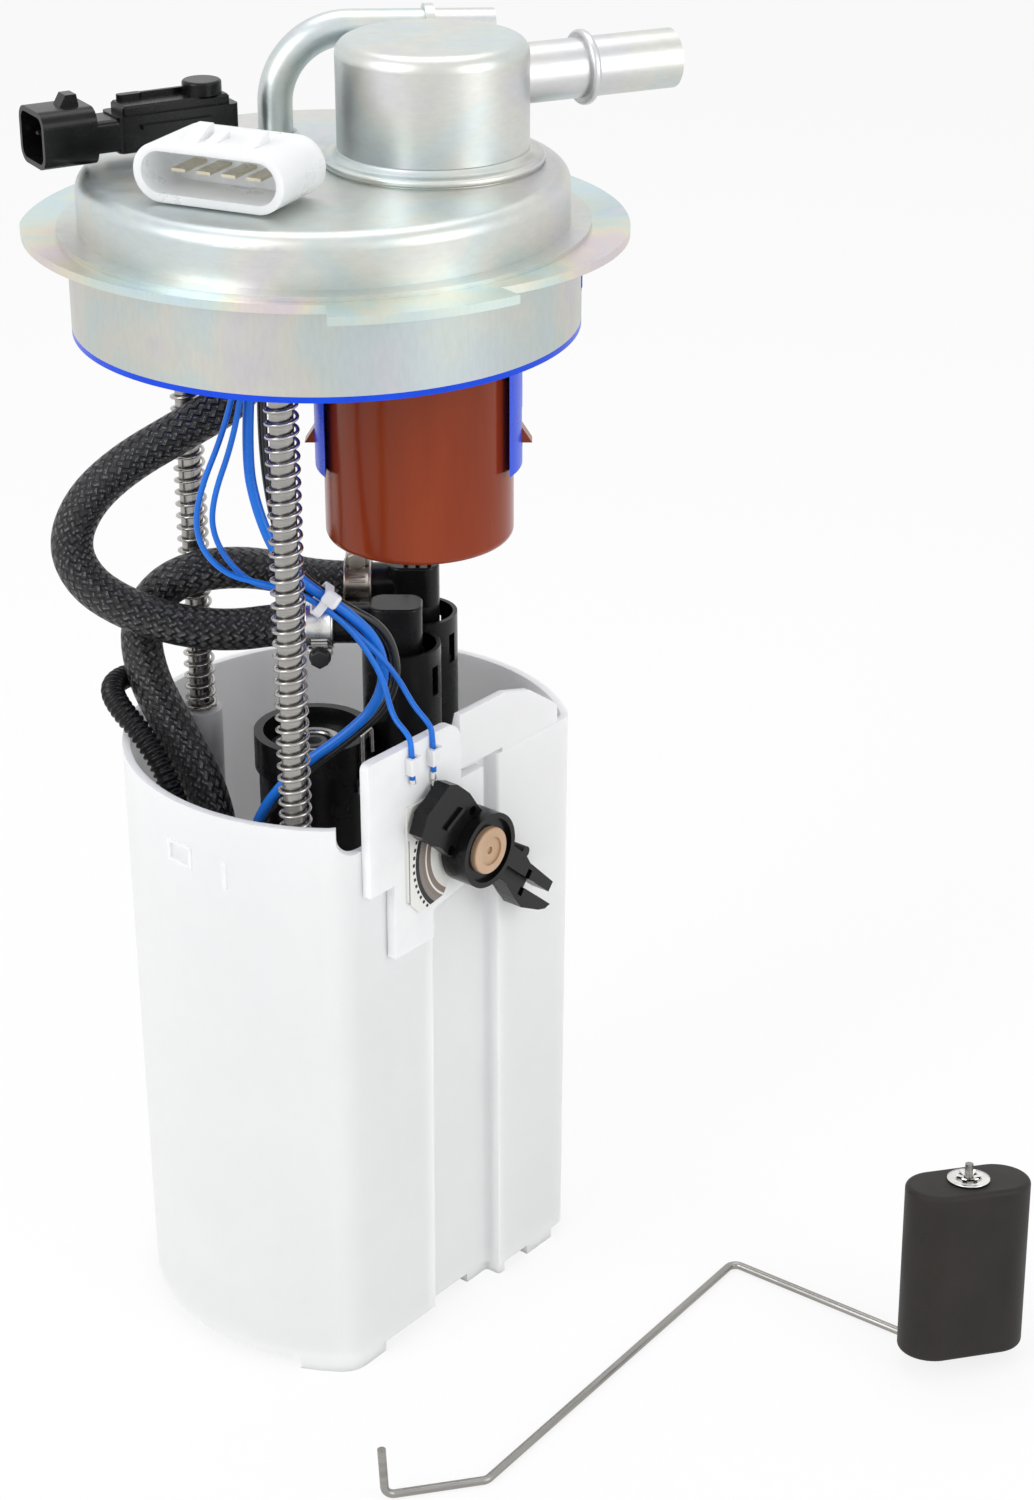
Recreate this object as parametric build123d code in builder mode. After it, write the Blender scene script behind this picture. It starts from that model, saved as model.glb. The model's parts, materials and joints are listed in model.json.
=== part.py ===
from build123d import *
from math import cos, pi, radians, sin, tan
import os

# Fuel pump module, millimetres. +Z is up, the origin is on the tank floor
# under the axis of the round cover.

# Flange: cover, cam ring and skirt
ring_top = 328.0
ring_sheet = 2.3
ring_r = 80.7
ring_front_r = 73.0
tab_r = 82.5
tab_from, tab_to = -86.4, -51.3
sheet = 1.2
skirt_r = 68.0
dome_inset, brim_overhang = 3.0, 2.5
dome_rise = 15.0
shoulder_r = 4.0
skirt_bottom = 302.8
skirt_seat, skirt_round = 0.3, 1.5
slot_height, slot_width, slot_from_bottom = 6.0, 12.0, 8.0
slot_lug_rise = 0.1
weld_gap = 0.05

# Vapour outlet on the cover
cap_x, cap_y = 28.7, 6.4
cap_r = 25.5
cap_height = 32.4
cap_base_r = 29.2
cap_round = 4.0
vapour_r = 7.94
vapour_wall = 1.2
vapour_rise = 20.3
vapour_turn = 25.0
vapour_start, vapour_bead_at, vapour_end = 21.0, 43.5, 70.0
bead_rise, bead_width = 2.0, 2.6

# Fuel feed tube
feed_x, feed_y = -14.6, 30.6
feed_r = 4.763
feed_wall = 0.9
feed_rise = 29.5
feed_bend_r = 20.0
feed_reach = 60.0
feed_turn = 10.4
feed_slope = -0.03
feed_bead_at = 42.0
feed_bead_rise = 1.3
feed_weld_width, feed_weld_height, feed_weld_taper = 2.4, 2.0, 40
bead_round = 1.1
feed_tail = 24.0

# Tank pressure sensor
sensor_x, sensor_y = -26.0, 22.5
sensor_turn = 210.0
sensor_lift = 3.0
sensor_body_length, sensor_body_width, sensor_body_height = 34.5, 12.0, 9.5
sensor_neck_length, sensor_neck_width, sensor_neck_height = 7.0, 11.0, 8.6
sensor_lid_inset, sensor_lid_width, sensor_lid_height = 2.0, 9.6, 2.5
sensor_button_r, sensor_button_height, sensor_button_at = 5.3, 3.6, 8.0
shroud_length, shroud_width, shroud_height = 15.0, 17.0, 15.0
shroud_wall = 1.4
shroud_depth = 12.0
shroud_tab_width, shroud_tab_rise, shroud_tab_back = 4.6, 3.4, 12.0
shroud_tab_foot, shroud_tab_crest = 5.0, 3.0
sensor_rail_length, sensor_rail_width, sensor_rail_up = 20.0, 1.2, 0.62
hook_from_end, hook_length, hook_height, hook_bar, hook_bar_back = 7.0, 7.0, 1.4, 13.0, 9.0
sensor_port_r, sensor_port_at = 4.5, 10.0
grommet_r = 6.5
sensor_pin_count, sensor_pin_pitch = 3, 4.0
sensor_pin_width, sensor_pin_thick, sensor_pin_length = 1.5, 0.8, 9.0

# Four way pump connector
plug_x, plug_y, plug_z = -26.0, -43.0, 351.2
plug_turn = 245.2
plug_width, plug_height, plug_depth = 43.0, 15.2, 22.0
plug_wall = 2.2
plug_socket_depth = 15.0
plug_foot_r, plug_foot_back, plug_tail, plug_foot_width = 9.0, 15.5, 8.0, 30.0
plug_ramps = [(-6.6, 3.6, 4.0), (-1.5, 1.8, 3.0), (9.6, 3.0, 3.0)]
ramp_from, ramp_crest, ramp_to = 2.0, 9.5, 12.0
blade_count, blade_pitch = 4, 7.2
blade_width, blade_thick, blade_length = 4.0, 0.8, 11.0

# Blue carrier ring under the skirt
carrier_lip = 1.6
carrier_wall = 2.0
carrier_depth = 18.0
carrier_floor = 2.2
leg_thick, leg_half_angle, leg_length = 2.2, 17.0, 40.0
leg_gap = 0.15
leg_window_width, leg_window_height = 6.0, 11.0
hose_hole_r = 7.5

# Vent valve, hung in the carrier's legs
valve_x, valve_y = 23.9, 0.0
valve_r = 26.0
valve_wall = 1.8
valve_bottom = 240.0
valve_base_height = 6.6
valve_seat_r = 6.0
lug_reach, lug_height, lug_width, lug_below_top = 5.0, 6.0, 5.0, 34.0
valve_float_gap = 1.4
valve_float_height = 26.0
valve_float_nose_r = 8.0
valve_float_rest = 0.3
valve_float_post_r, valve_float_post_wall, valve_float_post = 5.0, 1.5, 8.0
valve_float_travel = 4.0

# Guide rods and their springs
rod_r = 3.2
rod_fit = 0.06
rod_front = (-9.3, -50.0)
rod_rear = (-43.0, 33.5)
rod_overlap = 42.0
rod_above_floor = 5.0
spring_wire = 1.0
spring_mean_r = 4.15
spring_pitch = 3.6
boss_top = 171.0
boss_wall = 2.8
boss_depth = 75.0
rod_clip_thick, rod_clip_r = 0.8, 6.0

# Reservoir cup
cup_x, cup_y = 2.3, 1.4
cup_r = 64.2
cup_rim = 179.0
cup_wall = 2.2
cup_floor = 2.5
cup_draft = 0.35
foot_height, foot_width, foot_ring_r, foot_inset = 3.5, 8.0, 46.0, 1.3
wall_feet = [(40.0, 15.0), (42.0, 38.0)]
corner_foot_length, corner_foot_turn = 26.0, -92.0
wall_turn = -39.0
wall_near, wall_recess, wall_far = 42.9, 39.7, 44.7
recess_from, recess_to = -9.0, 17.0
corner_r, rear_corner_r, step_r = 10.0, 6.0, 2.2
notch_x, notch_width, notch_depth, notch_round = 7.0, 9.6, 8.8, 5.5
dock_outline = [(0.8, 17.8), (20.4, 17.8), (31.5, 14.5), (40.7, 8.1), (44.0, 5.6)]
dock_drop, dock_gap, dock_inset, dock_web = 8.0, 1.2, 0.2, 2.0
web_half, web_sink, web_step = 1.0, 2.0, 0.4
emboss_turn, emboss_low, emboss_width, emboss_height = -133.5, 160.0, 9.5, 6.5
emboss_rise, emboss_line = 0.4, 0.8
rib_turn, rib_low, rib_height, rib_width = -119.0, 157.5, 8.0, 1.2
origin_pad_r = 12.0

# Level sensor on the flat wall
bracket_thick = 2.6
bracket_from, bracket_to = -39.0, 9.0
bracket_top, bracket_mid, bracket_low = 196.5, 156.5, 133.5
bracket_heel, bracket_shoulder = 142.5, 178.5
bracket_step, bracket_foot, bracket_right = -29.3, -13.0, -0.6
bracket_round, bracket_corner = 6.0, 2.0
bridge_places, bridge_width, bridge_height, bridge_rise = [(-22.0, 191.0), (-13.2, 190.6)], 4.2, 4.8, 2.6
terminal_places = [(-22.0, 183.6), (-13.2, 182.8)]
terminal_width, terminal_length, terminal_height = 2.6, 6.0, 1.4
wire_channel_play = 0.3
bracket_gap = 0.4
hub_along, hub_height = -1.0, 159.5
hub_r = 11.0
hub_groove_r, hub_groove = 9.4, 1.4
bushing_r = 6.8
post_r = 2.5
post_fit = 0.08
bushing_cap, bushing_proud = 2.4, 0.6
bushing_dish_r, bushing_dish, bushing_eye_r = 4.2, 0.7, 1.1
wiper_gap = 1.4
hub_thick = 8.4
wiper_turn, wiper_thick = 137.0, 4.6
paddle_outline = [
    (-10.6, 0.2), (-16.9, 6.5), (-21.1, 9.1), (-24.4, 12.5), (-21.7, 18.5), (-16.7, 21.1),
    (-12.4, 24.0), (-9.0, 22.7), (-4.0, 18.2), (0.3, 11.9), (7.7, 5.3), (0.0, 0.0),
]
paddle_rib = (-14.7, 11.1, -7.4, 15.0)
paddle_rib_width, paddle_rib_rise = 1.2, 0.9
paddle_windows, paddle_window_at, paddle_window_r = [103.0, 163.0], 12.6, 1.4
clip_turn, clip_thick_out = -41.0, 6.4
clip_outline = [
    (5.0, 5.5), (20.0, 5.0), (24.0, 3.6), (38.6, 2.6), (38.6, -0.6), (30.5, -0.6), (30.5, -3.4),
    (42.0, -3.4), (40.5, -5.4), (37.5, -6.7), (29.0, -8.7), (24.0, -7.5), (16.0, -5.0), (5.0, -5.5),
]
groove_middle, groove_from, groove_floor, groove_length, groove_play = -2.0, 13.0, 3.2, 20.0, 0.48
jaw_slot_at, jaw_slot_width, jaw_slot_length = 25.5, 2.2, 8.0
knob_at, knob_r = (19.5, 5.6), 1.6
card_thick = 0.8
card_outline = [
    (-24.5, 19.0), (-24.5, -10.0), (-20.0, -15.0), (-9.5, -13.5), (-7.0, -9.5), (-7.0, 11.5), (-12.0, 19.0),
]
contact_along_arm = 19.0

# Fuel pump, filter and regulator under the elbows
pump_x, pump_y = -7.8, 4.2
tower_r, tower_wall, tower_top = 16.0, 1.6, 178.0
collar_rise, collar_height = 1.1, 11.0
pump_fit = 0.05
pump_wall = 1.0
pump_bottom, pump_top = 22.0, 172.0
pump_cover_height, pump_cap_height, bearing_depth = 4.0, 5.0, 3.0
pump_ring_r, pump_ring_width, pump_ring_height = 8.9, 3.4, 2.6
pump_outlet_r, pump_outlet_height = 3.9, 2.0
pump_inlet_r, pump_inlet_height, port_wall = 5.0, 5.0, 1.5
magnet_bottom, magnet_height, magnet_thick, magnet_gap = 58.0, 70.0, 2.4, 6.0
armature_height, armature_gap = 62.0, 0.6
commutator_r, commutator_height = 6.0, 16.0
impeller_r, impeller_thick, impeller_play = 12.7, 4.0, 1.0
impeller_slots, impeller_slot = 16, 3.0
shaft_r, shaft_fit, shaft_play = 1.5, 0.03, 0.2
filter_x, filter_y = 17.5, 15.1
regulator_x, regulator_y = 21.8, 38.6
canister_r, canister_wall, canister_top = 11.4, 1.3, 200.0
canister_depth = 18.0
canister_slots, canister_slot_width = [-30.0, 60.0], 3.0
canister_slot_height, canister_slot_drop = 9.0, 5.0
holder_plate = 3.0
holder_height = 14.0
holder_leg_r = 3.0
holder_legs = [(-15.8, -7.8), (-15.8, 16.2), (28.0, 30.0), (24.0, 10.0)]
tower_window_drop, tower_window_width, tower_window_height = 24.0, 6.0, 10.0
strainer_length, strainer_width = 20.0, 14.0
inlet_valve_x, inlet_valve_y, inlet_valve_r, inlet_valve_height = -30.0, -22.0, 8.0, 1.6
jet_x, jet_y, jet_length, jet_width, jet_height = -38.0, 4.0, 26.0, 14.0, 14.0
jet_inlet = (-35.0, -3.0)
jet_outlet = (-42.0, 10.0)
jet_inlet_r, jet_outlet_r, jet_neck = 4.0, 2.2, 18.0
clip_wire_r, clip_fit, clip_turn_about = 0.7, 0.05, -28.0
clip_low, clip_high, clip_half = 16.0, 3.0, 2.6
regulator_fit, regulator_height = 0.3, 4.0

# Hoses, elbows and clamps
hose_r = 6.0
elbow_r = 5.7
elbow_leg_r = 6.2
elbow_crown = 0.9
elbow_block_length, elbow_block_width, elbow_block_round = 15.0, 12.4, 4.0
feed_elbow_rise, return_elbow_rise = 6.0, 9.2
elbow_ribs, elbow_rib_pitch, elbow_rib_thick, elbow_rib_rise = 3, 3.4, 1.2, 2.8
feed_elbow_from, return_elbow_from = -1.5, 8.4
clamp_from_elbow = 4.2
clamp_width, clamp_thick, clamp_gap = 8.0, 0.8, 0.05
clamp_screw_out, clamp_screw_height, clamp_screw_length = 2.6, 4.8, 8.0
drain_r = 3.4
power_wire_r, ground_wire_r, signal_wire_r = 1.5, 1.3, 0.8
wire_plug_turn, wire_plug_size, wire_plug_height, wire_plug_top = 230.0, 8.0, 15.0, 120.0
wire_plug_pitch = 3.2
signal_rises = [(-3.0, 6.8), (1.6, 3.8)]
tie_place, tie_length, tie_height, tie_wall, tie_width = (-1.6, -31.3, 233.0), 10.4, 7.8, 0.8, 2.4

# Loose float arm beside the module
arm_wire_r = 1.2
arm_bend_r = 3.0
arm_hook = (13.6, -117.8, 17.0)
arm_route = [(14.3, -117.8), (42.4, -111.4), (117.5, -8.9), (180.9, -55.3)]
arm_lean = (0.01, 0.15, 1.0)
arm_leg_length = 62.0
float_length, float_thick, float_height = 38.0, 19.5, 52.5
float_turn = 17.5
float_up = 4.2
float_fit = 0.1
float_round = 1.6
nut_r, nut_thick = 6.2, 0.5

# Derived places
dome_r = skirt_r - dome_inset
brim_r = skirt_r + brim_overhang
ring_bottom = ring_top - ring_sheet
cover_top = ring_top + dome_rise
cap_top = cover_top + cap_height
carrier_bottom = skirt_bottom - carrier_lip
skirt_top = ring_bottom + skirt_seat
canister_deck = canister_top - canister_depth
feed_elbow_z = canister_top + feed_elbow_rise
return_elbow_z = canister_top + return_elbow_rise
valve_top = carrier_bottom
floor_under = foot_height
floor_top = floor_under + cup_floor
jet_top = floor_top + jet_height + jet_neck
pump_r = tower_r - tower_wall - pump_fit
pump_low = pump_bottom - pump_cover_height
cup_height = cup_rim - floor_under
wall_out = Vector(cos(radians(wall_turn)), sin(radians(wall_turn)), 0)
wall_along = Vector(-sin(radians(wall_turn)), cos(radians(wall_turn)), 0)
bracket_face = wall_near + bracket_thick + bracket_gap
card_face = bracket_face + card_thick
wiper_back = card_face + wiper_gap


def on_wall(distance, along=0.0, height=0.0):
    """Plane facing out of the flat wall: X runs along it, Y up, Z out of it."""
    origin = wall_out * distance + wall_along * along + Vector(0, 0, height)
    return Plane(origin=origin, x_dir=wall_along, z_dir=wall_out)


def turned(x, y, z, angle):
    """Horizontal plane whose X axis is turned by an angle about +Z."""
    return Plane(origin=(x, y, z), x_dir=(cos(radians(angle)), sin(radians(angle)), 0), z_dir=(0, 0, 1))


def facing(x, y, z, angle):
    """Upright plane looking out at an angle, X level and Y up."""
    look = (cos(radians(angle)), sin(radians(angle)), 0)
    level = (-sin(radians(angle)), cos(radians(angle)), 0)
    return Plane(origin=(x, y, z), x_dir=level, z_dir=look)


def cord_radii(points):
    """Arc radius at each inner point: 0.45 of the shorter run over the tangent of half the turn."""
    radii = []
    for before, here, after in zip(points, points[1:], points[2:]):
        run_in = Vector(*here) - Vector(*before)
        run_out = Vector(*after) - Vector(*here)
        half_turn = radians(run_in.get_angle(run_out) / 2)
        radii.append(0.45 * min(run_in.length, run_out.length) / tan(half_turn))
    return radii


# Drawn cover: domed top, wall and a narrow brim on the cam ring
with BuildPart() as cover_shell:
    with BuildSketch(Plane.XZ) as section:
        with BuildLine():
            Polyline(
                (0, cover_top), (dome_r, cover_top), (dome_r, ring_top + sheet),
                (brim_r, ring_top + sheet), (brim_r, ring_top), (dome_r - sheet, ring_top),
                (dome_r - sheet, cover_top - sheet), (0, cover_top - sheet), close=True,
            )
        make_face()
        outer_corner = section.vertices().sort_by_distance((dome_r, cover_top))[0]
        inner_corner = section.vertices().sort_by_distance((dome_r - sheet, cover_top - sheet))[0]
        fillet(outer_corner, shoulder_r)
        fillet(inner_corner, shoulder_r - sheet)
    revolve(axis=Axis.Z)
    with Locations((feed_x, feed_y, cover_top)):
        Hole(feed_r + weld_gap, 3 * sheet)
    with Locations((cap_x, cap_y, cover_top)):
        Hole(cap_r - 4 * sheet, 3 * sheet)
    with Locations(turned(sensor_x, sensor_y, cover_top, sensor_turn)):
        with Locations((sensor_port_at, 0)):
            Hole(sensor_port_r, 3 * sheet)
    with Locations(turned(plug_x, plug_y, cover_top, plug_turn)):
        with Locations((-plug_foot_back, 0)):
            Hole(plug_foot_r + weld_gap, 3 * sheet)
cover_shell.part.label = "cover_shell"

# Cam ring: the front runs in on both sides of the locating tab
with BuildPart() as cam_ring:
    with BuildSketch(Plane.XY.offset(ring_bottom)):
        with BuildLine():
            left_end = (-ring_r, 0)
            right_end = (ring_r, 0)
            tab_left_in = (ring_front_r * cos(radians(tab_from)), ring_front_r * sin(radians(tab_from)))
            tab_left_out = (tab_r * cos(radians(tab_from)), tab_r * sin(radians(tab_from)))
            tab_middle = radians((tab_from + tab_to) / 2)
            tab_right_out = (tab_r * cos(radians(tab_to)), tab_r * sin(radians(tab_to)))
            notch_r = ring_front_r + 1.8
            tab_right_in = (notch_r * cos(radians(tab_to)), notch_r * sin(radians(tab_to)))
            left_mid_r = (ring_r + ring_front_r) / 2 - 1.5
            right_mid_r = (ring_r + notch_r) / 2 + 0.6
            ThreePointArc(right_end, (0, ring_r), left_end)
            ThreePointArc(
                left_end, (left_mid_r * cos(radians(-140)), left_mid_r * sin(radians(-140))), tab_left_in
            )
            Line(tab_left_in, tab_left_out)
            ThreePointArc(tab_left_out, (tab_r * cos(tab_middle), tab_r * sin(tab_middle)), tab_right_out)
            Line(tab_right_out, tab_right_in)
            ThreePointArc(
                tab_right_in, (right_mid_r * cos(radians(-33)), right_mid_r * sin(radians(-33))), right_end
            )
        make_face()
        Circle(dome_r, mode=Mode.SUBTRACT)
    extrude(amount=ring_sheet)
    with BuildSketch(Plane.XY.offset(ring_bottom)):
        Circle(skirt_r + weld_gap)
    extrude(amount=skirt_seat, mode=Mode.SUBTRACT)
cam_ring.part.label = "cam_ring"

# Skirt: a plain ring with a turned-in top, slotted at both sides
with BuildPart() as skirt_ring:
    with BuildSketch(Plane.XZ) as section:
        with BuildLine():
            Polyline(
                (skirt_r, skirt_bottom), (skirt_r, skirt_top), (dome_r - 3 * sheet, skirt_top),
                (dome_r - 3 * sheet, skirt_top - sheet), (skirt_r - sheet, skirt_top - sheet),
                (skirt_r - sheet, skirt_bottom), close=True,
            )
        make_face()
        fillet(section.vertices().sort_by_distance((skirt_r, skirt_top))[0], skirt_round)
    revolve(axis=Axis.Z)
    with Locations((0, 0, skirt_bottom + slot_from_bottom + slot_height / 2)):
        Box(3 * skirt_r, slot_width, slot_height, mode=Mode.SUBTRACT)
skirt_ring.part.label = "skirt_ring"

# Vapour outlet: a drawn can on the cover with one side tube
with BuildPart() as vapour_cap:
    with BuildSketch(Plane.XZ) as section:
        with BuildLine():
            Polyline(
                (0, cap_top), (cap_r, cap_top), (cap_r, cover_top + sheet), (cap_base_r, cover_top + sheet),
                (cap_base_r, cover_top), (cap_r - sheet, cover_top), (cap_r - sheet, cap_top - sheet),
                (0, cap_top - sheet), close=True,
            )
        make_face()
        fillet(section.vertices().sort_by_distance((cap_r, cap_top))[0], cap_round)
        fillet(section.vertices().sort_by_distance((cap_r - sheet, cap_top - sheet))[0], cap_round - sheet)
    revolve(axis=Axis.Z)
    with BuildSketch(facing(0, 0, cover_top + vapour_rise, vapour_turn)):
        Circle(vapour_r + weld_gap)
    extrude(amount=2 * cap_r, mode=Mode.SUBTRACT)
vapour_cap.part.position = (cap_x, cap_y, 0)
vapour_cap.part.label = "vapour_cap"

with BuildPart() as vapour_tube:
    vapour_plane = facing(cap_x, cap_y, cover_top + vapour_rise, vapour_turn)
    with BuildSketch(vapour_plane.offset(vapour_start)):
        Circle(vapour_r)
        Circle(vapour_r - vapour_wall, mode=Mode.SUBTRACT)
    extrude(amount=vapour_end - vapour_start)
    with BuildSketch(vapour_plane.offset(vapour_bead_at - bead_width / 2)):
        Circle(vapour_r + bead_rise)
        Circle(vapour_r - vapour_wall / 2, mode=Mode.SUBTRACT)
    extrude(amount=bead_width)
    bead_rims = vapour_tube.edges().filter_by(lambda e: e.is_closed and abs(e.radius - vapour_r - bead_rise) < 0.01)
    fillet(bead_rims, bead_round)
vapour_tube.part.label = "vapour_tube"

# Feed tube: up from under the cover, round a bend and out to the right
feed_out = Vector(cos(radians(feed_turn)), sin(radians(feed_turn)), feed_slope).normalized()
feed_low = Vector(feed_x, feed_y, cover_top - feed_tail)
feed_corner = Vector(feed_x, feed_y, cover_top + feed_rise)
with BuildPart() as feed_tube:
    with BuildLine() as route:
        FilletPolyline(feed_low, feed_corner, feed_corner + feed_out * feed_reach, radius=feed_bend_r)
    with BuildSketch(Plane(origin=feed_low, z_dir=(0, 0, 1))):
        Circle(feed_r)
        Circle(feed_r - feed_wall, mode=Mode.SUBTRACT)
    sweep(path=route.wire())
    bead_middle = feed_corner + feed_out * feed_bead_at
    with BuildSketch(Plane(origin=bead_middle - feed_out * (bead_width / 2), z_dir=feed_out)):
        Circle(feed_r + feed_bead_rise)
        Circle(feed_r - feed_wall / 2, mode=Mode.SUBTRACT)
    extrude(amount=bead_width)
    with BuildSketch(Plane.XY.offset(cover_top)):
        with Locations((feed_x, feed_y)):
            Circle(feed_r + feed_weld_width)
            Circle(feed_r - feed_wall / 2, mode=Mode.SUBTRACT)
    extrude(amount=feed_weld_height, taper=feed_weld_taper)
feed_tube.part.label = "feed_tube"

# Tank pressure sensor: housing with its connector shroud, on a grommet
sensor_base = cover_top + sensor_lift
shroud_start = sensor_body_length + sensor_neck_length
sensor_spigot_r = sensor_port_r - 1.0
with BuildPart() as pressure_sensor_housing:
    with BuildSketch(turned(sensor_x, sensor_y, sensor_base, sensor_turn)):
        with Locations((sensor_body_length / 2, 0)):
            RectangleRounded(sensor_body_length, sensor_body_width, 1.5)
    extrude(amount=sensor_body_height)
    sensor_frame = turned(sensor_x, sensor_y, sensor_base, sensor_turn)
    neck_start = sensor_frame.from_local_coords((sensor_body_length - 1.0, 0, sensor_body_height / 2))
    shroud_plane = facing(*sensor_frame.from_local_coords((shroud_start, 0, 6.0)), sensor_turn)
    with BuildSketch(facing(*neck_start, sensor_turn)):
        RectangleRounded(sensor_neck_width, sensor_neck_height, 1.5)
    extrude(amount=sensor_neck_length + 1.0)
    with BuildSketch(shroud_plane):
        RectangleRounded(shroud_width, shroud_height, 4.0)
    extrude(amount=shroud_length)
    with BuildSketch(shroud_plane.offset(shroud_length - shroud_depth)):
        RectangleRounded(shroud_width - 2 * shroud_wall, shroud_height - 2 * shroud_wall, 4.0 - shroud_wall)
    extrude(amount=shroud_depth, mode=Mode.SUBTRACT)
    with BuildSketch(sensor_frame):
        with Locations((sensor_port_at, 0)):
            Circle(sensor_spigot_r)
    extrude(amount=-sensor_lift - 8.0)
    tab_start = shroud_plane.from_local_coords((shroud_tab_width / 2, shroud_height / 2 - 0.5, shroud_length))
    tab_side = Plane(origin=tab_start, x_dir=-shroud_plane.z_dir, z_dir=-shroud_plane.x_dir)
    with BuildSketch(tab_side):
        with BuildLine():
            Polyline(
                (shroud_tab_back - shroud_tab_foot, 0), (shroud_tab_back - shroud_tab_crest, -shroud_tab_rise),
                (shroud_tab_back, -shroud_tab_rise), (shroud_tab_back + 0.6, 0), close=True,
            )
        make_face()
    extrude(amount=shroud_tab_width)
    with BuildSketch(sensor_frame.offset(sensor_body_height * sensor_rail_up)):
        with Locations((sensor_body_length / 2 + 1.0, sensor_body_width / 2)):
            Rectangle(sensor_rail_length, 2 * sensor_rail_width)
    extrude(amount=sensor_rail_width)
pressure_sensor_housing.part.label = "pressure_sensor_housing"

with BuildPart() as pressure_sensor_lid:
    lid_base = sensor_base + sensor_body_height
    with BuildSketch(turned(sensor_x, sensor_y, lid_base, sensor_turn)):
        with Locations((sensor_body_length / 2, 0)):
            RectangleRounded(sensor_body_length - 2 * sensor_lid_inset, sensor_lid_width, 1.0)
    extrude(amount=sensor_lid_height)
    chamfer(pressure_sensor_lid.faces().sort_by(Axis.Z)[-1].edges(), 0.6)
    with BuildSketch(turned(sensor_x, sensor_y, lid_base + sensor_lid_height, sensor_turn)):
        with Locations((sensor_button_at, 0)):
            Circle(sensor_button_r)
    extrude(amount=sensor_button_height)
    fillet(pressure_sensor_lid.faces().sort_by(Axis.Z)[-1].edges(), 0.8)
    hook_at = sensor_body_length - hook_from_end
    hook_side = sensor_rail_width - sensor_lid_width / 2
    with BuildSketch(turned(sensor_x, sensor_y, lid_base + sensor_lid_height, sensor_turn)):
        with Locations((hook_at, hook_side)):
            SlotOverall(hook_length, 2 * sensor_rail_width)
        with Locations((hook_at - hook_bar_back, hook_side)):
            Rectangle(hook_bar, sensor_rail_width)
    extrude(amount=hook_height)
pressure_sensor_lid.part.label = "pressure_sensor_lid"

with BuildPart() as pressure_sensor_terminals:
    with BuildSketch(shroud_plane.offset(shroud_length - shroud_depth)):
        with GridLocations(sensor_pin_pitch, 1, sensor_pin_count, 1):
            Rectangle(sensor_pin_width, sensor_pin_thick)
    extrude(amount=sensor_pin_length)
pressure_sensor_terminals.part.label = "pressure_sensor_terminals"

with BuildPart() as pressure_sensor_grommet:
    with BuildSketch(turned(sensor_x, sensor_y, cover_top, sensor_turn)):
        with Locations((sensor_port_at, 0)):
            Circle(grommet_r)
            Circle(sensor_spigot_r + weld_gap, mode=Mode.SUBTRACT)
    extrude(amount=sensor_lift)
    with BuildSketch(turned(sensor_x, sensor_y, cover_top - sheet, sensor_turn)):
        with Locations((sensor_port_at, 0)):
            Circle(sensor_port_r)
            Circle(sensor_spigot_r + weld_gap, mode=Mode.SUBTRACT)
    extrude(amount=sheet)
pressure_sensor_grommet.part.label = "pressure_sensor_grommet"

# Four way pump connector: an oval socket with four blades, on a round foot
plug_face = facing(plug_x, plug_y, plug_z, plug_turn)
plug_foot_plane = turned(plug_x, plug_y, cover_top, plug_turn)
with BuildPart() as pump_connector_housing:
    with BuildSketch(plug_face):
        SlotOverall(plug_width, plug_height)
    extrude(amount=-plug_depth)
    with BuildSketch(plug_face):
        SlotOverall(plug_width - 2 * plug_wall, plug_height - 2 * plug_wall)
    extrude(amount=-plug_socket_depth, mode=Mode.SUBTRACT)
    with BuildSketch(plug_foot_plane):
        with Locations((-(plug_depth + plug_socket_depth) / 2, 0)):
            RectangleRounded(plug_depth - plug_socket_depth, plug_foot_width, 2.0)
    extrude(amount=plug_z - cover_top)
    with BuildSketch(plug_foot_plane):
        with Locations((-plug_foot_back, 0)):
            Circle(plug_foot_r)
    extrude(amount=-plug_tail)
    for along, rise, width in plug_ramps:
        ramp_side = Plane(
            origin=plug_face.from_local_coords((along - width / 2, plug_height / 2 - 0.4, 0)),
            x_dir=-plug_face.z_dir, z_dir=plug_face.x_dir,
        )
        with BuildSketch(ramp_side):
            with BuildLine():
                Polyline((ramp_from, 0), (ramp_crest, rise), (ramp_to, rise), (ramp_to, 0), close=True)
            make_face()
        extrude(amount=width)
pump_connector_housing.part.label = "pump_connector_housing"

with BuildPart() as pump_connector_terminals:
    with BuildSketch(plug_face.offset(-plug_socket_depth)):
        with GridLocations(blade_pitch, 1, blade_count, 1):
            Rectangle(blade_width, blade_thick)
    extrude(amount=blade_length)
pump_connector_terminals.part.label = "pump_connector_terminals"

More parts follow.
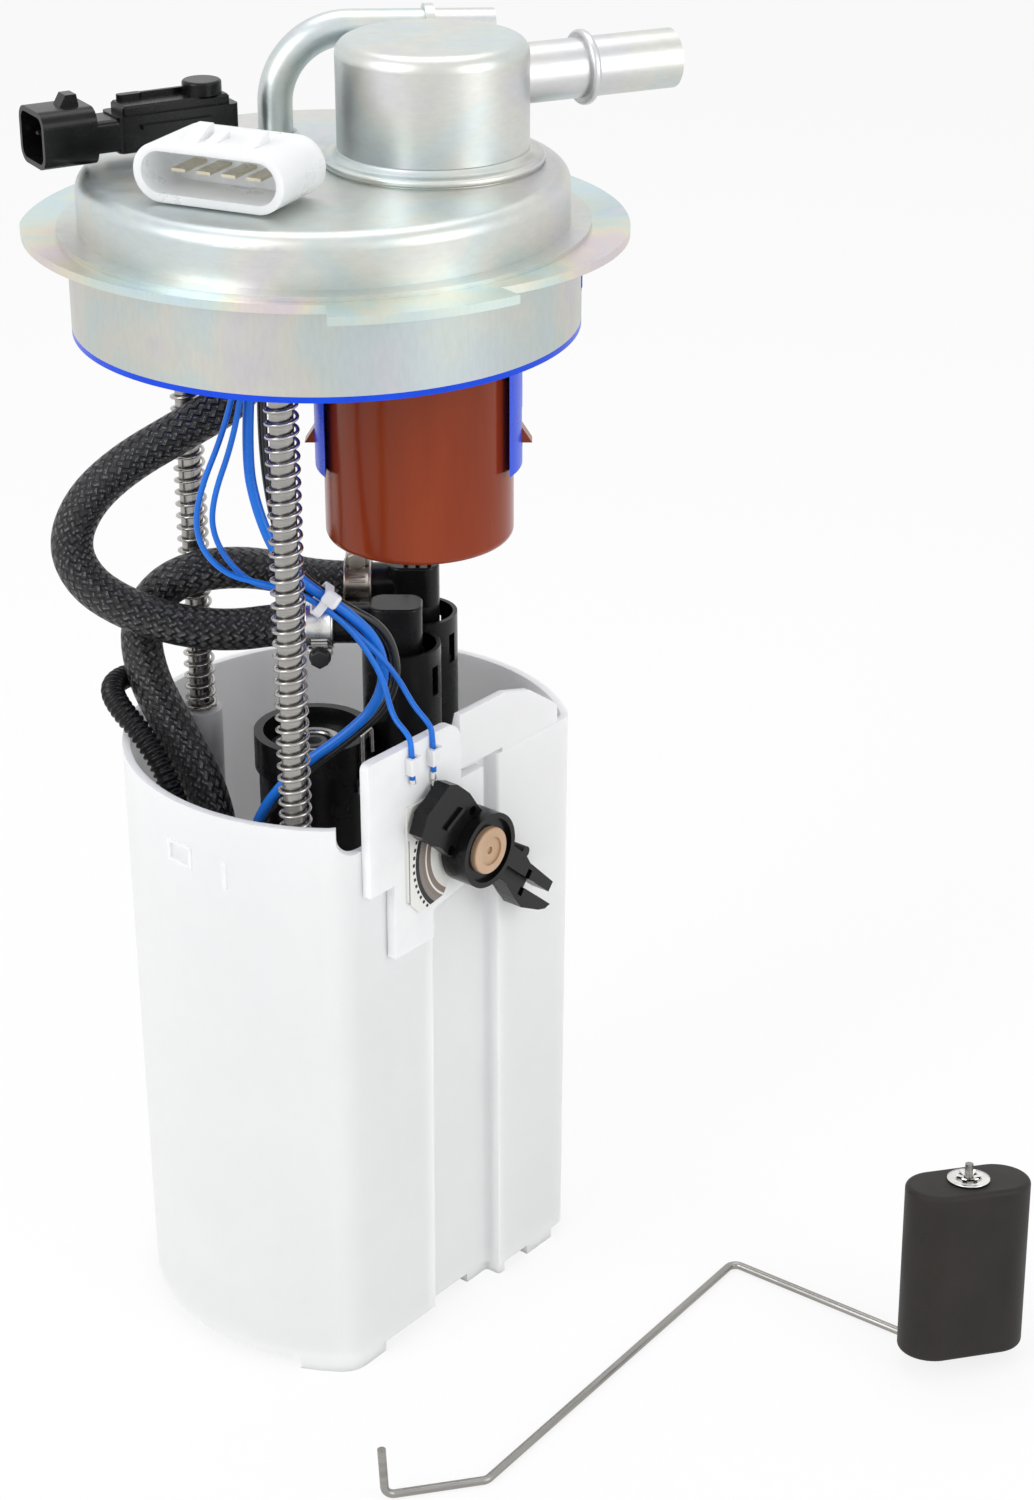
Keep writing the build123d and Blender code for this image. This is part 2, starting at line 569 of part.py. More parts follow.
# Carrier ring: a moulding inside the skirt that holds rods and vent valve
with BuildPart() as carrier_ring:
    with BuildSketch(Plane.XY.offset(carrier_bottom)):
        Circle(skirt_r)
    extrude(amount=carrier_lip)
    with BuildSketch(Plane.XY.offset(skirt_bottom)):
        Circle(skirt_r - sheet - weld_gap)
    extrude(amount=carrier_depth)
    with BuildSketch(Plane.XY.offset(carrier_bottom + carrier_floor)):
        Circle(skirt_r - sheet - weld_gap - carrier_wall)
    extrude(amount=carrier_depth, mode=Mode.SUBTRACT)
    with Locations((0, 0, skirt_bottom + slot_from_bottom + slot_height / 2)):
        with Locations((skirt_r + slot_lug_rise - sheet, 0), (sheet - skirt_r - slot_lug_rise, 0)):
            Box(2 * sheet, slot_width - 4.0, slot_height - 1.0)
    with BuildSketch(Plane.XY.offset(carrier_bottom)):
        with Locations((valve_x, valve_y)):
            Circle(valve_r + leg_gap + leg_thick)
            Circle(valve_r + leg_gap, mode=Mode.SUBTRACT)
            with PolarLocations(0, 2, start_angle=90):
                Rectangle(4 * valve_r, 2 * valve_r * cos(radians(leg_half_angle)), mode=Mode.SUBTRACT)
    extrude(amount=-leg_length)
    with Locations((valve_x, valve_y, valve_top - lug_below_top - 1.0 + leg_window_height / 2)):
        Box(4 * valve_r, leg_window_width, leg_window_height, mode=Mode.SUBTRACT)
    with Locations((rod_front[0], rod_front[1], 0), (rod_rear[0], rod_rear[1], 0)):
        Cylinder(rod_r + weld_gap, 3 * ring_top, mode=Mode.SUBTRACT)
    with Locations((feed_x, feed_y, carrier_bottom)):
        Cylinder(hose_hole_r, 4 * carrier_floor, mode=Mode.SUBTRACT)
    with Locations((valve_x, valve_y, carrier_bottom)):
        Cylinder(valve_r - 5.0, 4 * carrier_floor, mode=Mode.SUBTRACT)
    with Locations(turned(plug_x, plug_y, carrier_bottom, plug_turn)):
        with Locations((-plug_foot_back, 0)):
            Cylinder(plug_foot_r - 1.5, 4 * carrier_floor, mode=Mode.SUBTRACT)
carrier_ring.part.label = "carrier_ring"

# Vent valve cup with its two snap lugs
valve_base_top = valve_bottom + valve_base_height
with BuildPart() as vent_valve_housing:
    with BuildSketch(Plane.XY.offset(valve_base_top)):
        Circle(valve_r)
    extrude(amount=valve_top - valve_base_top)
    with BuildSketch(Plane.XY.offset(valve_base_top)):
        Circle(valve_r - valve_wall)
    extrude(amount=valve_top - valve_wall - valve_base_top, mode=Mode.SUBTRACT)
    with Locations((0, 0, valve_top)):
        Hole(valve_seat_r, 2 * valve_wall)
    lug_low = valve_top - lug_below_top
    with BuildSketch(Plane.XZ.offset(-lug_width / 2)) as lug:
        with BuildLine():
            Polyline(
                (valve_r - 0.5, lug_low), (valve_r + lug_reach, lug_low),
                (valve_r + 1.2, lug_low + lug_height), (valve_r - 0.5, lug_low + lug_height), close=True,
            )
        make_face()
        mirror(about=Plane.YZ)
    extrude(amount=lug_width)
vent_valve_housing.part.position = (valve_x, valve_y, 0)
vent_valve_housing.part.label = "vent_valve_housing"

with BuildPart() as vent_valve_base:
    with BuildSketch(Plane.XZ) as section:
        with BuildLine():
            Polyline(
                (0, valve_bottom), (valve_r, valve_bottom), (valve_r, valve_base_top),
                (valve_r - valve_wall, valve_base_top), (valve_r - valve_wall, valve_bottom + valve_wall),
                (0, valve_bottom + valve_wall), close=True,
            )
        make_face()
        fillet(section.vertices().sort_by_distance((valve_r, valve_bottom))[0], 2.5)
    revolve(axis=Axis.Z)
    with BuildSketch(Plane.XY.offset(valve_bottom)):
        with PolarLocations(valve_r * 0.6, 6):
            SlotOverall(9.0, 3.0)
    extrude(amount=valve_wall, mode=Mode.SUBTRACT)
    with BuildSketch(Plane.XY.offset(valve_bottom + valve_wall)):
        Circle(valve_float_post_r)
        Circle(valve_float_post_r - valve_float_post_wall, mode=Mode.SUBTRACT)
    extrude(amount=valve_float_post)
vent_valve_base.part.position = (valve_x, valve_y, 0)
vent_valve_base.part.label = "vent_valve_base"

with BuildPart() as vent_valve_float:
    float_low = valve_bottom + valve_wall + valve_float_post + valve_float_rest
    float_r = valve_r - valve_wall - valve_float_gap
    with BuildSketch(Plane.XY.offset(float_low)):
        Circle(float_r)
    extrude(amount=valve_float_height)
    nose_top = valve_top - valve_wall - valve_float_travel - valve_float_rest
    with BuildSketch(Plane.XY.offset(float_low + valve_float_height)):
        Circle(valve_float_nose_r)
    extrude(amount=nose_top - float_low - valve_float_height, taper=6)
vent_valve_float.part.position = (valve_x, valve_y, 0)
vent_valve_float.part.label = "vent_valve_float"

# Guide rods, fixed in the carrier, sliding in the reservoir's bosses
rod_bottom = boss_top - rod_overlap
rod_length = carrier_bottom + carrier_floor + rod_above_floor - rod_bottom
guide_rods = {}
for end, (x, y) in (("front", rod_front), ("rear", rod_rear)):
    with BuildPart() as guide_rod:
        with BuildSketch(Plane.XY.offset(rod_bottom)):
            with Locations((x, y)):
                Circle(rod_r)
        extrude(amount=rod_length)
        chamfer(guide_rod.faces().sort_by(Axis.Z)[0].edges(), 0.6)
    guide_rod.part.label = f"guide_rod_{end}"
    guide_rods[end] = guide_rod

with BuildPart() as rod_clips:
    with BuildSketch(Plane.XY.offset(carrier_bottom + carrier_floor)):
        with Locations(rod_front, rod_rear):
            Circle(rod_clip_r)
            Circle(rod_r + weld_gap, mode=Mode.SUBTRACT)
    extrude(amount=rod_clip_thick)
rod_clips.part.label = "rod_clips"

# Guide springs between the bosses and the carrier
spring_low = boss_top + spring_wire / 2 + 0.05
spring_high = carrier_bottom - spring_wire / 2 - 0.05
guide_springs = {}
for end, (x, y) in (("front", rod_front), ("rear", rod_rear)):
    with BuildPart() as guide_spring:
        with BuildLine() as coil:
            Helix(spring_pitch, spring_high - spring_low, spring_mean_r, center=(x, y, spring_low))
        with BuildSketch(Plane(origin=coil.wire() @ 0, z_dir=coil.wire() % 0)):
            RegularPolygon(spring_wire / 2, 6)
        sweep(path=coil.wire(), is_frenet=True)
    guide_spring.part.label = f"guide_spring_{end}"
    guide_springs[end] = guide_spring

# Reservoir cup: a circle cut flat at the level sensor, with three stepped walls


def cup_outline(inset):
    """Plan of the cup, inset by a wall thickness."""
    with BuildSketch(Plane.XY) as outline:
        with Locations((cup_x, cup_y)):
            Circle(cup_r - inset)
        with Locations(Location((0, 0, 0), (0, 0, wall_turn))):
            for distance, low, high in (
                (wall_near, -90.0, recess_from - inset),
                (wall_recess, recess_from - inset, recess_to + inset),
                (wall_far, recess_to + inset, 90.0),
            ):
                with Locations((distance - inset + 50.0, (low + high) / 2)):
                    Rectangle(100.0, high - low, mode=Mode.SUBTRACT)
        corners = outline.vertices().sort_by(lambda v: Vector(v).dot(wall_along))
        fillet(corners[0], corner_r - inset)
        corners = outline.vertices().sort_by(lambda v: Vector(v).dot(wall_along))
        fillet(corners[-1], rear_corner_r - inset)
        steps = [
            v for v in outline.vertices()
            if recess_from - 4 < Vector(v).dot(wall_along) < recess_to + 4
        ]
        fillet(steps, step_r / 2)
    return outline.sketch


with BuildPart() as reservoir:
    with BuildSketch(Plane.XY.offset(cup_rim)):
        add(cup_outline(0))
    extrude(amount=-cup_height, taper=cup_draft)
    with BuildSketch(Plane.XY.offset(cup_rim)):
        add(cup_outline(cup_wall))
    extrude(amount=-(cup_rim - floor_top), taper=cup_draft, mode=Mode.SUBTRACT)
    with BuildSketch(Plane.XY.offset(floor_top)):
        with Locations(rod_front, rod_rear):
            Circle(rod_r + rod_fit + boss_wall)
    extrude(amount=boss_top - floor_top)
    with BuildSketch(Plane.XY.offset(boss_top)):
        with Locations(rod_front, rod_rear):
            Circle(rod_r + rod_fit)
    extrude(amount=-boss_depth, mode=Mode.SUBTRACT)
    with BuildSketch(Plane.XY):
        Circle(origin_pad_r)
        with PolarLocations(foot_ring_r, 2, start_angle=95, angular_range=240):
            RectangleRounded(foot_width, 2.7 * foot_width, 2.0)
        with Locations(Location((0, 0, 0), (0, 0, wall_turn))):
            with Locations(*wall_feet):
                RectangleRounded(2 * foot_width, 1.5 * foot_width, 1.5)
        with Locations(Location((cup_x, cup_y, 0), (0, 0, corner_foot_turn))):
            with Locations((cup_r, 0)):
                RectangleRounded(3 * foot_width, corner_foot_length, 2.0)
        add(cup_outline(foot_inset), mode=Mode.INTERSECT)
    extrude(amount=foot_height)
    with BuildSketch(Plane.XZ.offset(0.7 * cup_r)) as notch:
        with Locations((notch_x, cup_rim)):
            Rectangle(notch_width, 2 * notch_depth)
        lower_left = (notch_x - notch_width, cup_rim - 2 * notch_depth)
        fillet(notch.vertices().sort_by_distance(lower_left)[0], notch_round)
    extrude(amount=0.6 * cup_r, mode=Mode.SUBTRACT)
    with BuildSketch(on_wall(wall_far - dock_inset)):
        with BuildLine():
            dock_points = [(along, cup_rim + rise) for along, rise in dock_outline]
            dock_low, dock_level = cup_rim - dock_drop, cup_rim + dock_gap
            Polyline(
                *dock_points, (dock_points[-1][0], dock_low), (recess_to + step_r, dock_low),
                (recess_to + step_r, dock_level), (dock_points[0][0], dock_level), close=True,
            )
        make_face()
    extrude(amount=-cup_wall)
    web_plane = Plane(origin=wall_along * dock_outline[0][0], x_dir=wall_out, z_dir=-wall_along)
    with BuildSketch(web_plane):
        with BuildLine():
            dock_back = wall_far - dock_inset - cup_wall / 2
            recess_middle = wall_recess - cup_wall / 2
            Polyline(
                (recess_middle - web_half, cup_rim - web_sink), (recess_middle + web_half, cup_rim - web_sink),
                (recess_middle + web_half, cup_rim + web_step), (dock_back, dock_level),
                (dock_back, dock_points[0][1]), (dock_back - web_half, dock_points[0][1]), close=True,
            )
        make_face()
    extrude(amount=-dock_web)
    with Locations(Location((cup_x, cup_y, emboss_low + emboss_height / 2), (0, 0, emboss_turn))):
        with Locations((cup_r, 0, 0)):
            Box(2 * emboss_rise, emboss_width, emboss_height)
            inner_width, inner_height = emboss_width - 2 * emboss_line, emboss_height - 2 * emboss_line
            Box(3 * emboss_rise, inner_width, inner_height, mode=Mode.SUBTRACT)
    with Locations(Location((cup_x, cup_y, rib_low + rib_height / 2), (0, 0, rib_turn))):
        with Locations((cup_r, 0, 0)):
            Box(2 * emboss_rise, rib_width, rib_height)
reservoir.part.label = "reservoir"

# Level sensor bracket: a plate on the near wall that carries card and pivot post
with BuildPart() as sensor_bracket:
    with BuildSketch(on_wall(wall_near)) as plate:
        with BuildLine():
            Polyline(
                (bracket_from, bracket_mid), (bracket_step, bracket_mid), (bracket_step, bracket_low),
                (bracket_foot, bracket_low), (bracket_foot, bracket_heel),
                (bracket_to, bracket_heel + 4), (bracket_to, bracket_shoulder),
                (bracket_right, bracket_shoulder), (bracket_right, bracket_top),
                (bracket_from, bracket_top), close=True,
            )
        make_face()
        fillet(plate.vertices().sort_by_distance((bracket_right, bracket_top))[0], bracket_round)
        fillet(plate.vertices().sort_by_distance((bracket_from, bracket_top))[0], bracket_corner)
    extrude(amount=bracket_thick + bracket_gap)
    with BuildSketch(on_wall(bracket_face)):
        with Locations(*bridge_places):
            Rectangle(bridge_width, bridge_height)
    extrude(amount=bridge_rise)
    with BuildSketch(on_wall(bracket_face)):
        with Locations(*bridge_places):
            Rectangle(2 * signal_wire_r + wire_channel_play, 2 * bridge_height)
    extrude(amount=2 * signal_wire_r + wire_channel_play, mode=Mode.SUBTRACT)
    with BuildSketch(on_wall(bracket_face, hub_along, hub_height)):
        Circle(post_r)
    extrude(amount=card_thick + wiper_gap + hub_thick - bushing_cap - 0.3)
sensor_bracket.part.label = "sensor_bracket"

with BuildPart() as sensor_card:
    with BuildSketch(on_wall(bracket_face)):
        with BuildLine():
            Polyline(*[(along, hub_height + rise) for along, rise in card_outline], close=True)
        make_face()
    extrude(amount=card_thick)
sensor_card.part.label = "sensor_card"

with BuildPart() as sensor_terminals:
    with BuildSketch(on_wall(bracket_face)):
        with Locations(*terminal_places):
            Rectangle(terminal_width, terminal_length)
    extrude(amount=terminal_height)
sensor_terminals.part.label = "sensor_terminals"

# Wiper carrier: hub ring, contact arm and the clip for the float arm
wiper_plane = on_wall(wiper_back, hub_along, hub_height)
hub_front = wiper_plane.offset(hub_thick)
with BuildPart() as wiper_carrier:
    with BuildSketch(wiper_plane):
        with BuildLine():
            Polyline(*paddle_outline, close=True)
        make_face()
        for window_turn in paddle_windows:
            with PolarLocations(paddle_window_at, 1, start_angle=window_turn):
                Circle(paddle_window_r, mode=Mode.SUBTRACT)
    extrude(amount=wiper_thick)
    rib_start = Vector(*paddle_rib[:2])
    rib_run = Vector(*paddle_rib[2:]) - rib_start
    rib_place = rib_start + rib_run / 2
    rib_angle = rib_run.get_signed_angle(Vector(1, 0, 0), Vector(0, 0, -1))
    with BuildSketch(wiper_plane.offset(wiper_thick)):
        with Locations(Location((rib_place.X, rib_place.Y, 0), (0, 0, rib_angle))):
            SlotOverall(rib_run.length, paddle_rib_width)
    extrude(amount=paddle_rib_rise)
    clip_out = wall_along * cos(radians(clip_turn)) + Vector(0, 0, sin(radians(clip_turn)))
    clip_plane = Plane(origin=wiper_plane.origin, x_dir=clip_out, z_dir=wall_out)
    with BuildSketch(clip_plane):
        with BuildLine():
            Polyline(*clip_outline, close=True)
        make_face()
        with Locations(knob_at):
            Circle(knob_r)
    extrude(amount=clip_thick_out)
    with BuildSketch(clip_plane.offset(groove_floor)):
        with Locations((groove_from + groove_length / 2, groove_middle)):
            Rectangle(groove_length, 2 * arm_wire_r + groove_play)
        with Locations((jaw_slot_at, groove_middle)):
            Rectangle(jaw_slot_width, jaw_slot_length)
    extrude(amount=clip_thick_out, mode=Mode.SUBTRACT)
    with BuildSketch(wiper_plane):
        Circle(hub_r)
    extrude(amount=hub_thick)
    with BuildSketch(hub_front):
        Circle(hub_groove_r)
    extrude(amount=-hub_groove, mode=Mode.SUBTRACT)
    with BuildSketch(wiper_plane):
        Circle(bushing_r)
    extrude(amount=hub_thick, mode=Mode.SUBTRACT)
wiper_carrier.part.label = "wiper_carrier"

with BuildPart() as hub_bushing:
    with BuildSketch(wiper_plane):
        Circle(bushing_r)
    extrude(amount=hub_thick + bushing_proud)
    with BuildSketch(wiper_plane):
        Circle(post_r + post_fit)
    extrude(amount=hub_thick - bushing_cap, mode=Mode.SUBTRACT)
    bushing_rims = hub_bushing.edges().filter_by(GeomType.CIRCLE).sort_by(lambda e: e.center().dot(wall_out))
    fillet(bushing_rims[-1], bushing_proud)
    with BuildSketch(hub_front.offset(bushing_proud)):
        Circle(bushing_dish_r)
    extrude(amount=-bushing_dish, mode=Mode.SUBTRACT)
    with BuildSketch(hub_front.offset(bushing_proud)):
        Circle(bushing_eye_r)
    extrude(amount=-2 * bushing_dish, mode=Mode.SUBTRACT)
hub_bushing.part.label = "hub_bushing"

with BuildPart() as wiper_contact:
    contact_height = wiper_gap - 0.3
    with BuildSketch(wiper_plane):
        with Locations(Location((0, 0, 0), (0, 0, wiper_turn))):
            with Locations((contact_along_arm, 2.0), (contact_along_arm - 4, 2.0)):
                Rectangle(1.6, 7.0)
    extrude(amount=-contact_height)
wiper_contact.part.label = "wiper_contact"

# Pump holder: plate on legs, with the pump's sleeve and an inner ledge under the pump
with BuildPart() as pump_holder:
    with BuildSketch(Plane.XY.offset(holder_height)):
        with Locations((pump_x, pump_y)):
            Circle(tower_r)
        with Locations((filter_x, filter_y), (regulator_x, regulator_y)):
            Circle(canister_r)
        make_hull()
    extrude(amount=holder_plate)
    with BuildSketch(Plane.XY.offset(holder_height)):
        with Locations((pump_x, pump_y)):
            Circle(tower_r)
    extrude(amount=tower_top - holder_height)
    with BuildSketch(Plane.XY.offset(tower_top)):
        with Locations((pump_x, pump_y)):
            Circle(tower_r + collar_rise)
        with Locations((filter_x, filter_y)):
            Circle(canister_r + weld_gap, mode=Mode.SUBTRACT)
    extrude(amount=-collar_height)
    with BuildSketch(Plane.XY.offset(pump_low)):
        with Locations((pump_x, pump_y)):
            Circle(tower_r - tower_wall)
    extrude(amount=tower_top - pump_low, mode=Mode.SUBTRACT)
    with BuildSketch(Plane.XY.offset(holder_height)):
        with Locations((pump_x, pump_y)):
            Circle(tower_r - 3 * tower_wall)
    extrude(amount=pump_low - holder_height, mode=Mode.SUBTRACT)
    with BuildSketch(Plane.XY.offset(floor_top)):
        with Locations(*holder_legs):
            Circle(holder_leg_r)
    extrude(amount=holder_height - floor_top)
    with Locations((pump_x, pump_y, tower_top - tower_window_drop)):
        with PolarLocations(tower_r, 3, start_angle=250):
            Box(3 * tower_wall, tower_window_width, tower_window_height, mode=Mode.SUBTRACT)
pump_holder.part.label = "pump_holder"

# Fuel pump: can, end cap with outlet, inlet cover, magnets, armature and impeller
with BuildPart() as pump_can:
    with BuildSketch(Plane.XY.offset(pump_bottom)):
        with Locations((pump_x, pump_y)):
            Circle(pump_r)
            Circle(pump_r - pump_wall, mode=Mode.SUBTRACT)
    extrude(amount=pump_top - pump_bottom)
pump_can.part.label = "pump_can"

with BuildPart() as pump_end_cap:
    with BuildSketch(Plane.XY.offset(pump_top - pump_cap_height)):
        with Locations((pump_x, pump_y)):
            Circle(pump_r - pump_wall)
    extrude(amount=pump_cap_height)
    with BuildSketch(Plane.XY.offset(pump_top)):
        with Locations((pump_x, pump_y)):
            Circle(pump_outlet_r)
            Circle(pump_outlet_r - port_wall, mode=Mode.SUBTRACT)
    extrude(amount=pump_outlet_height)
    with BuildSketch(Plane.XY.offset(pump_top - pump_cap_height)):
        with Locations((pump_x, pump_y)):
            Circle(shaft_r + shaft_fit)
    extrude(amount=bearing_depth, mode=Mode.SUBTRACT)
pump_end_cap.part.label = "pump_end_cap"

with BuildPart() as pump_top_ring:
    with BuildSketch(Plane.XZ):
        with Locations((pump_ring_r - pump_ring_width / 2, pump_top + pump_ring_height / 2)):
            RectangleRounded(pump_ring_width, pump_ring_height, 0.48 * pump_ring_height)
    revolve(axis=Axis.Z)
pump_top_ring.part.position = (pump_x, pump_y, 0)
pump_top_ring.part.label = "pump_top_ring"

with BuildPart() as pump_inlet_cover:
    with BuildSketch(Plane.XY.offset(pump_low)):
        with Locations((pump_x, pump_y)):
            Circle(pump_r)
    extrude(amount=pump_cover_height)
    with BuildSketch(Plane.XY.offset(pump_low)):
        with Locations((pump_x, pump_y)):
            Circle(pump_inlet_r)
            Circle(pump_inlet_r - port_wall, mode=Mode.SUBTRACT)
    extrude(amount=-pump_inlet_height)
    with BuildSketch(Plane.XY.offset(pump_bottom)):
        with Locations((pump_x, pump_y)):
            Circle(shaft_r + shaft_fit)
    extrude(amount=-bearing_depth, mode=Mode.SUBTRACT)
pump_inlet_cover.part.label = "pump_inlet_cover"

with BuildPart() as pump_magnets:
    with BuildSketch(Plane.XY.offset(magnet_bottom)):
        with Locations((pump_x, pump_y)):
            Circle(pump_r - pump_wall)
            Circle(pump_r - pump_wall - magnet_thick, mode=Mode.SUBTRACT)
            Rectangle(4 * pump_r, magnet_gap, mode=Mode.SUBTRACT)
    extrude(amount=magnet_height)
pump_magnets.part.label = "pump_magnets"

with BuildPart() as pump_armature:
    with BuildSketch(Plane.XY.offset(pump_bottom - bearing_depth + shaft_play)):
        with Locations((pump_x, pump_y)):
            Circle(shaft_r)
    extrude(amount=pump_top - pump_cap_height - pump_bottom + 2 * (bearing_depth - shaft_play))
    with BuildSketch(Plane.XY.offset(magnet_bottom + (magnet_height - armature_height) / 2)):
        with Locations((pump_x, pump_y)):
            Circle(pump_r - pump_wall - magnet_thick - armature_gap)
    extrude(amount=armature_height)
    with BuildSketch(Plane.XY.offset(magnet_bottom + magnet_height)):
        with Locations((pump_x, pump_y)):
            Circle(commutator_r)
    extrude(amount=commutator_height)
pump_armature.part.label = "pump_armature"

with BuildPart() as pump_impeller:
    with BuildSketch(Plane.XY.offset(pump_bottom + impeller_play)):
        with Locations((pump_x, pump_y)):
            Circle(impeller_r)
            Circle(shaft_r, mode=Mode.SUBTRACT)
            with PolarLocations(impeller_r - impeller_slot / 2, impeller_slots):
                Rectangle(impeller_slot + 1.0, impeller_slot / 2, mode=Mode.SUBTRACT)
    extrude(amount=impeller_thick)
pump_impeller.part.label = "pump_impeller"

# Filter and regulator housings: open cups above a deck, closed below
canisters = {}
for name, x, y in (("filter_housing", filter_x, filter_y), ("regulator_housing", regulator_x, regulator_y)):
    with BuildPart() as canister:
        with BuildSketch(Plane.XY.offset(holder_height + holder_plate)):
            with Locations((x, y)):
                Circle(canister_r)
        extrude(amount=canister_top - holder_height - holder_plate)
        with BuildSketch(Plane.XY.offset(canister_deck)):
            with Locations((x, y)):
                Circle(canister_r - canister_wall)
        extrude(amount=canister_depth, mode=Mode.SUBTRACT)
        for slot_turn in canister_slots:
            slot_middle = canister_top - canister_slot_drop - canister_slot_height / 2
            with Locations(Location((x, y, slot_middle), (0, 0, slot_turn))):
                with Locations((canister_r, 0, 0)):
                    Box(4 * canister_wall, canister_slot_width, canister_slot_height, mode=Mode.SUBTRACT)
    canister.part.label = name
    canisters[name] = canister

# On the floor: strainer under the pump, inlet check valve and jet pump
with BuildPart() as inlet_strainer:
    with BuildSketch(Plane.XY.offset(floor_top)):
        with Locations((pump_x, pump_y)):
            RectangleRounded(strainer_length, strainer_width, 4.0)
    extrude(amount=pump_low - pump_inlet_height - floor_top)
inlet_strainer.part.label = "inlet_strainer"

with BuildPart() as inlet_check_valve:
    with BuildSketch(Plane.XY.offset(floor_top)):
        with Locations((inlet_valve_x, inlet_valve_y)):
            Circle(inlet_valve_r)
    extrude(amount=inlet_valve_height, taper=20)
inlet_check_valve.part.label = "inlet_check_valve"

with BuildPart() as jet_pump:
    with BuildSketch(Plane.XY.offset(floor_top)):
        with Locations((jet_x, jet_y)):
            RectangleRounded(jet_width, jet_length, 3.0)
    extrude(amount=jet_height)
    with BuildSketch(Plane.XY.offset(floor_top + jet_height)):
        with Locations(jet_inlet):
            Circle(jet_inlet_r)
        with Locations(jet_outlet):
            Circle(jet_outlet_r)
    extrude(amount=jet_neck)
jet_pump.part.label = "jet_pump"

# Elbows: a level barb end and a leg down into each canister
elbows = {}
for name, x, y, z, start, ribs in (
    ("feed_elbow", filter_x, filter_y, feed_elbow_z, feed_elbow_from, 0),
    ("return_elbow", regulator_x, regulator_y, return_elbow_z, return_elbow_from, elbow_ribs),
):
    with BuildPart() as elbow:
        with BuildSketch(Plane(origin=(start, y, z), z_dir=(1, 0, 0))):
            Circle(elbow_r)
        extrude(amount=x - start)
        with BuildSketch(Plane.XY.offset(canister_deck)):
            with Locations((x, y)):
                Circle(elbow_leg_r)
        extrude(amount=z - canister_deck)
        with BuildSketch(Plane.XY.offset(z - elbow_r)):
            with Locations((x + elbow_leg_r - elbow_block_length / 2, y)):
                RectangleRounded(elbow_block_length, elbow_block_width, elbow_block_round)
        extrude(amount=2 * elbow_r + elbow_crown)
        fillet(elbow.faces().sort_by(Axis.Z)[-1].edges(), elbow_crown - 0.2)
        if ribs:
            with BuildSketch(Plane.XY.offset(z + elbow_r)):
                with Locations((x, y)):
                    with GridLocations(elbow_rib_pitch, 1, ribs, 1):
                        Rectangle(elbow_rib_thick, 0.7 * elbow_block_width)
            extrude(amount=elbow_crown + elbow_rib_rise)
    elbow.part.label = name
    elbows[name] = elbow

# Worm drive hose clamps: band with a square screw housing
clamps = {}
for name, x, y, z, tip in (
    ("feed_hose_clamp", feed_elbow_from - clamp_from_elbow, filter_y, feed_elbow_z, -90.0),
    ("return_hose_clamp", return_elbow_from - clamp_from_elbow, regulator_y, return_elbow_z, 90.0),
):
    with BuildPart() as clamp:
        band_plane = Plane(origin=(x, y, z), x_dir=(0, 1, 0), z_dir=(1, 0, 0))
        with BuildSketch(band_plane):
            Circle(hose_r + clamp_gap + clamp_thick)
            Circle(hose_r + clamp_gap, mode=Mode.SUBTRACT)
        extrude(amount=clamp_width / 2, both=True)
        with BuildSketch(band_plane):
            with Locations(Location((0, 0, 0), (0, 0, tip))):
                with Locations((hose_r + clamp_gap + clamp_screw_out, 0)):
                    RectangleRounded(clamp_screw_height, clamp_screw_length, 0.8)
            Circle(hose_r + clamp_gap, mode=Mode.SUBTRACT)
        extrude(amount=clamp_width / 2 - 1.0, both=True)
    clamp.part.label = name
    clamps[name] = clamp

# Hoses, drain tube and wires: routes held at both ends
plug_middle = turned(pump_x, pump_y, wire_plug_top, wire_plug_turn)
power_end = tuple(plug_middle.from_local_coords((tower_r + wire_plug_size / 2, wire_plug_pitch / 2)))[:2]
ground_end = tuple(plug_middle.from_local_coords((tower_r + wire_plug_size / 2, -wire_plug_pitch / 2)))[:2]
feed_hose_route = [
    (feed_x, feed_y, cover_top - feed_tail), (feed_x, feed_y, 301.0), (-19.5, 29.0, 282.5),
    (-29.0, 25.0, 269.5), (-43.5, 21.5, 262.0), (-60.0, 20.0, 252.5), (-71.5, 18.5, 242.0),
    (-76.5, 16.0, 230.0), (-72.0, 12.5, 220.0), (-61.0, 9.0, 213.5), (-45.5, 7.5, 208.5),
    (-30.5, 9.6, 206.0), (-16.0, filter_y, feed_elbow_z), (feed_elbow_from, filter_y, feed_elbow_z),
]
return_hose_route = [
    (return_elbow_from, regulator_y, return_elbow_z), (-7.0, regulator_y, return_elbow_z),
    (-20.5, 33.5, 215.0), (-31.0, 25.0, 219.5), (-43.5, 20.8, 219.5), (-53.5, 21.5, 212.5),
    (-58.5, 20.5, 201.5), (-55.5, 12.0, 190.0), (-47.5, 3.0, 178.5), (-38.0, -4.5, 163.0),
    (-34.5, -7.0, 143.0), (-35.5, -5.0, 115.0), (*jet_inlet, 75.0), (*jet_inlet, jet_top),
]
drain_tube_route = [
    (*jet_outlet, jet_top), (*jet_outlet, 68.0), (-46.5, -2.0, 98.0), (-46.0, -12.0, 130.0),
    (-44.5, -16.0, 158.0), (-48.5, -13.0, 172.0), (-55.0, -6.5, 180.5), (-62.5, 0.5, 186.0),
    (-66.0, 8.5, 188.5), (-64.0, 17.5, 188.0), (-58.5, 24.0, 186.5), (-51.0, 24.0, 180.5),
    (-49.0, 22.0, 168.0), (-48.5, 18.0, 150.0), (-48.5, 15.0, 133.0),
]
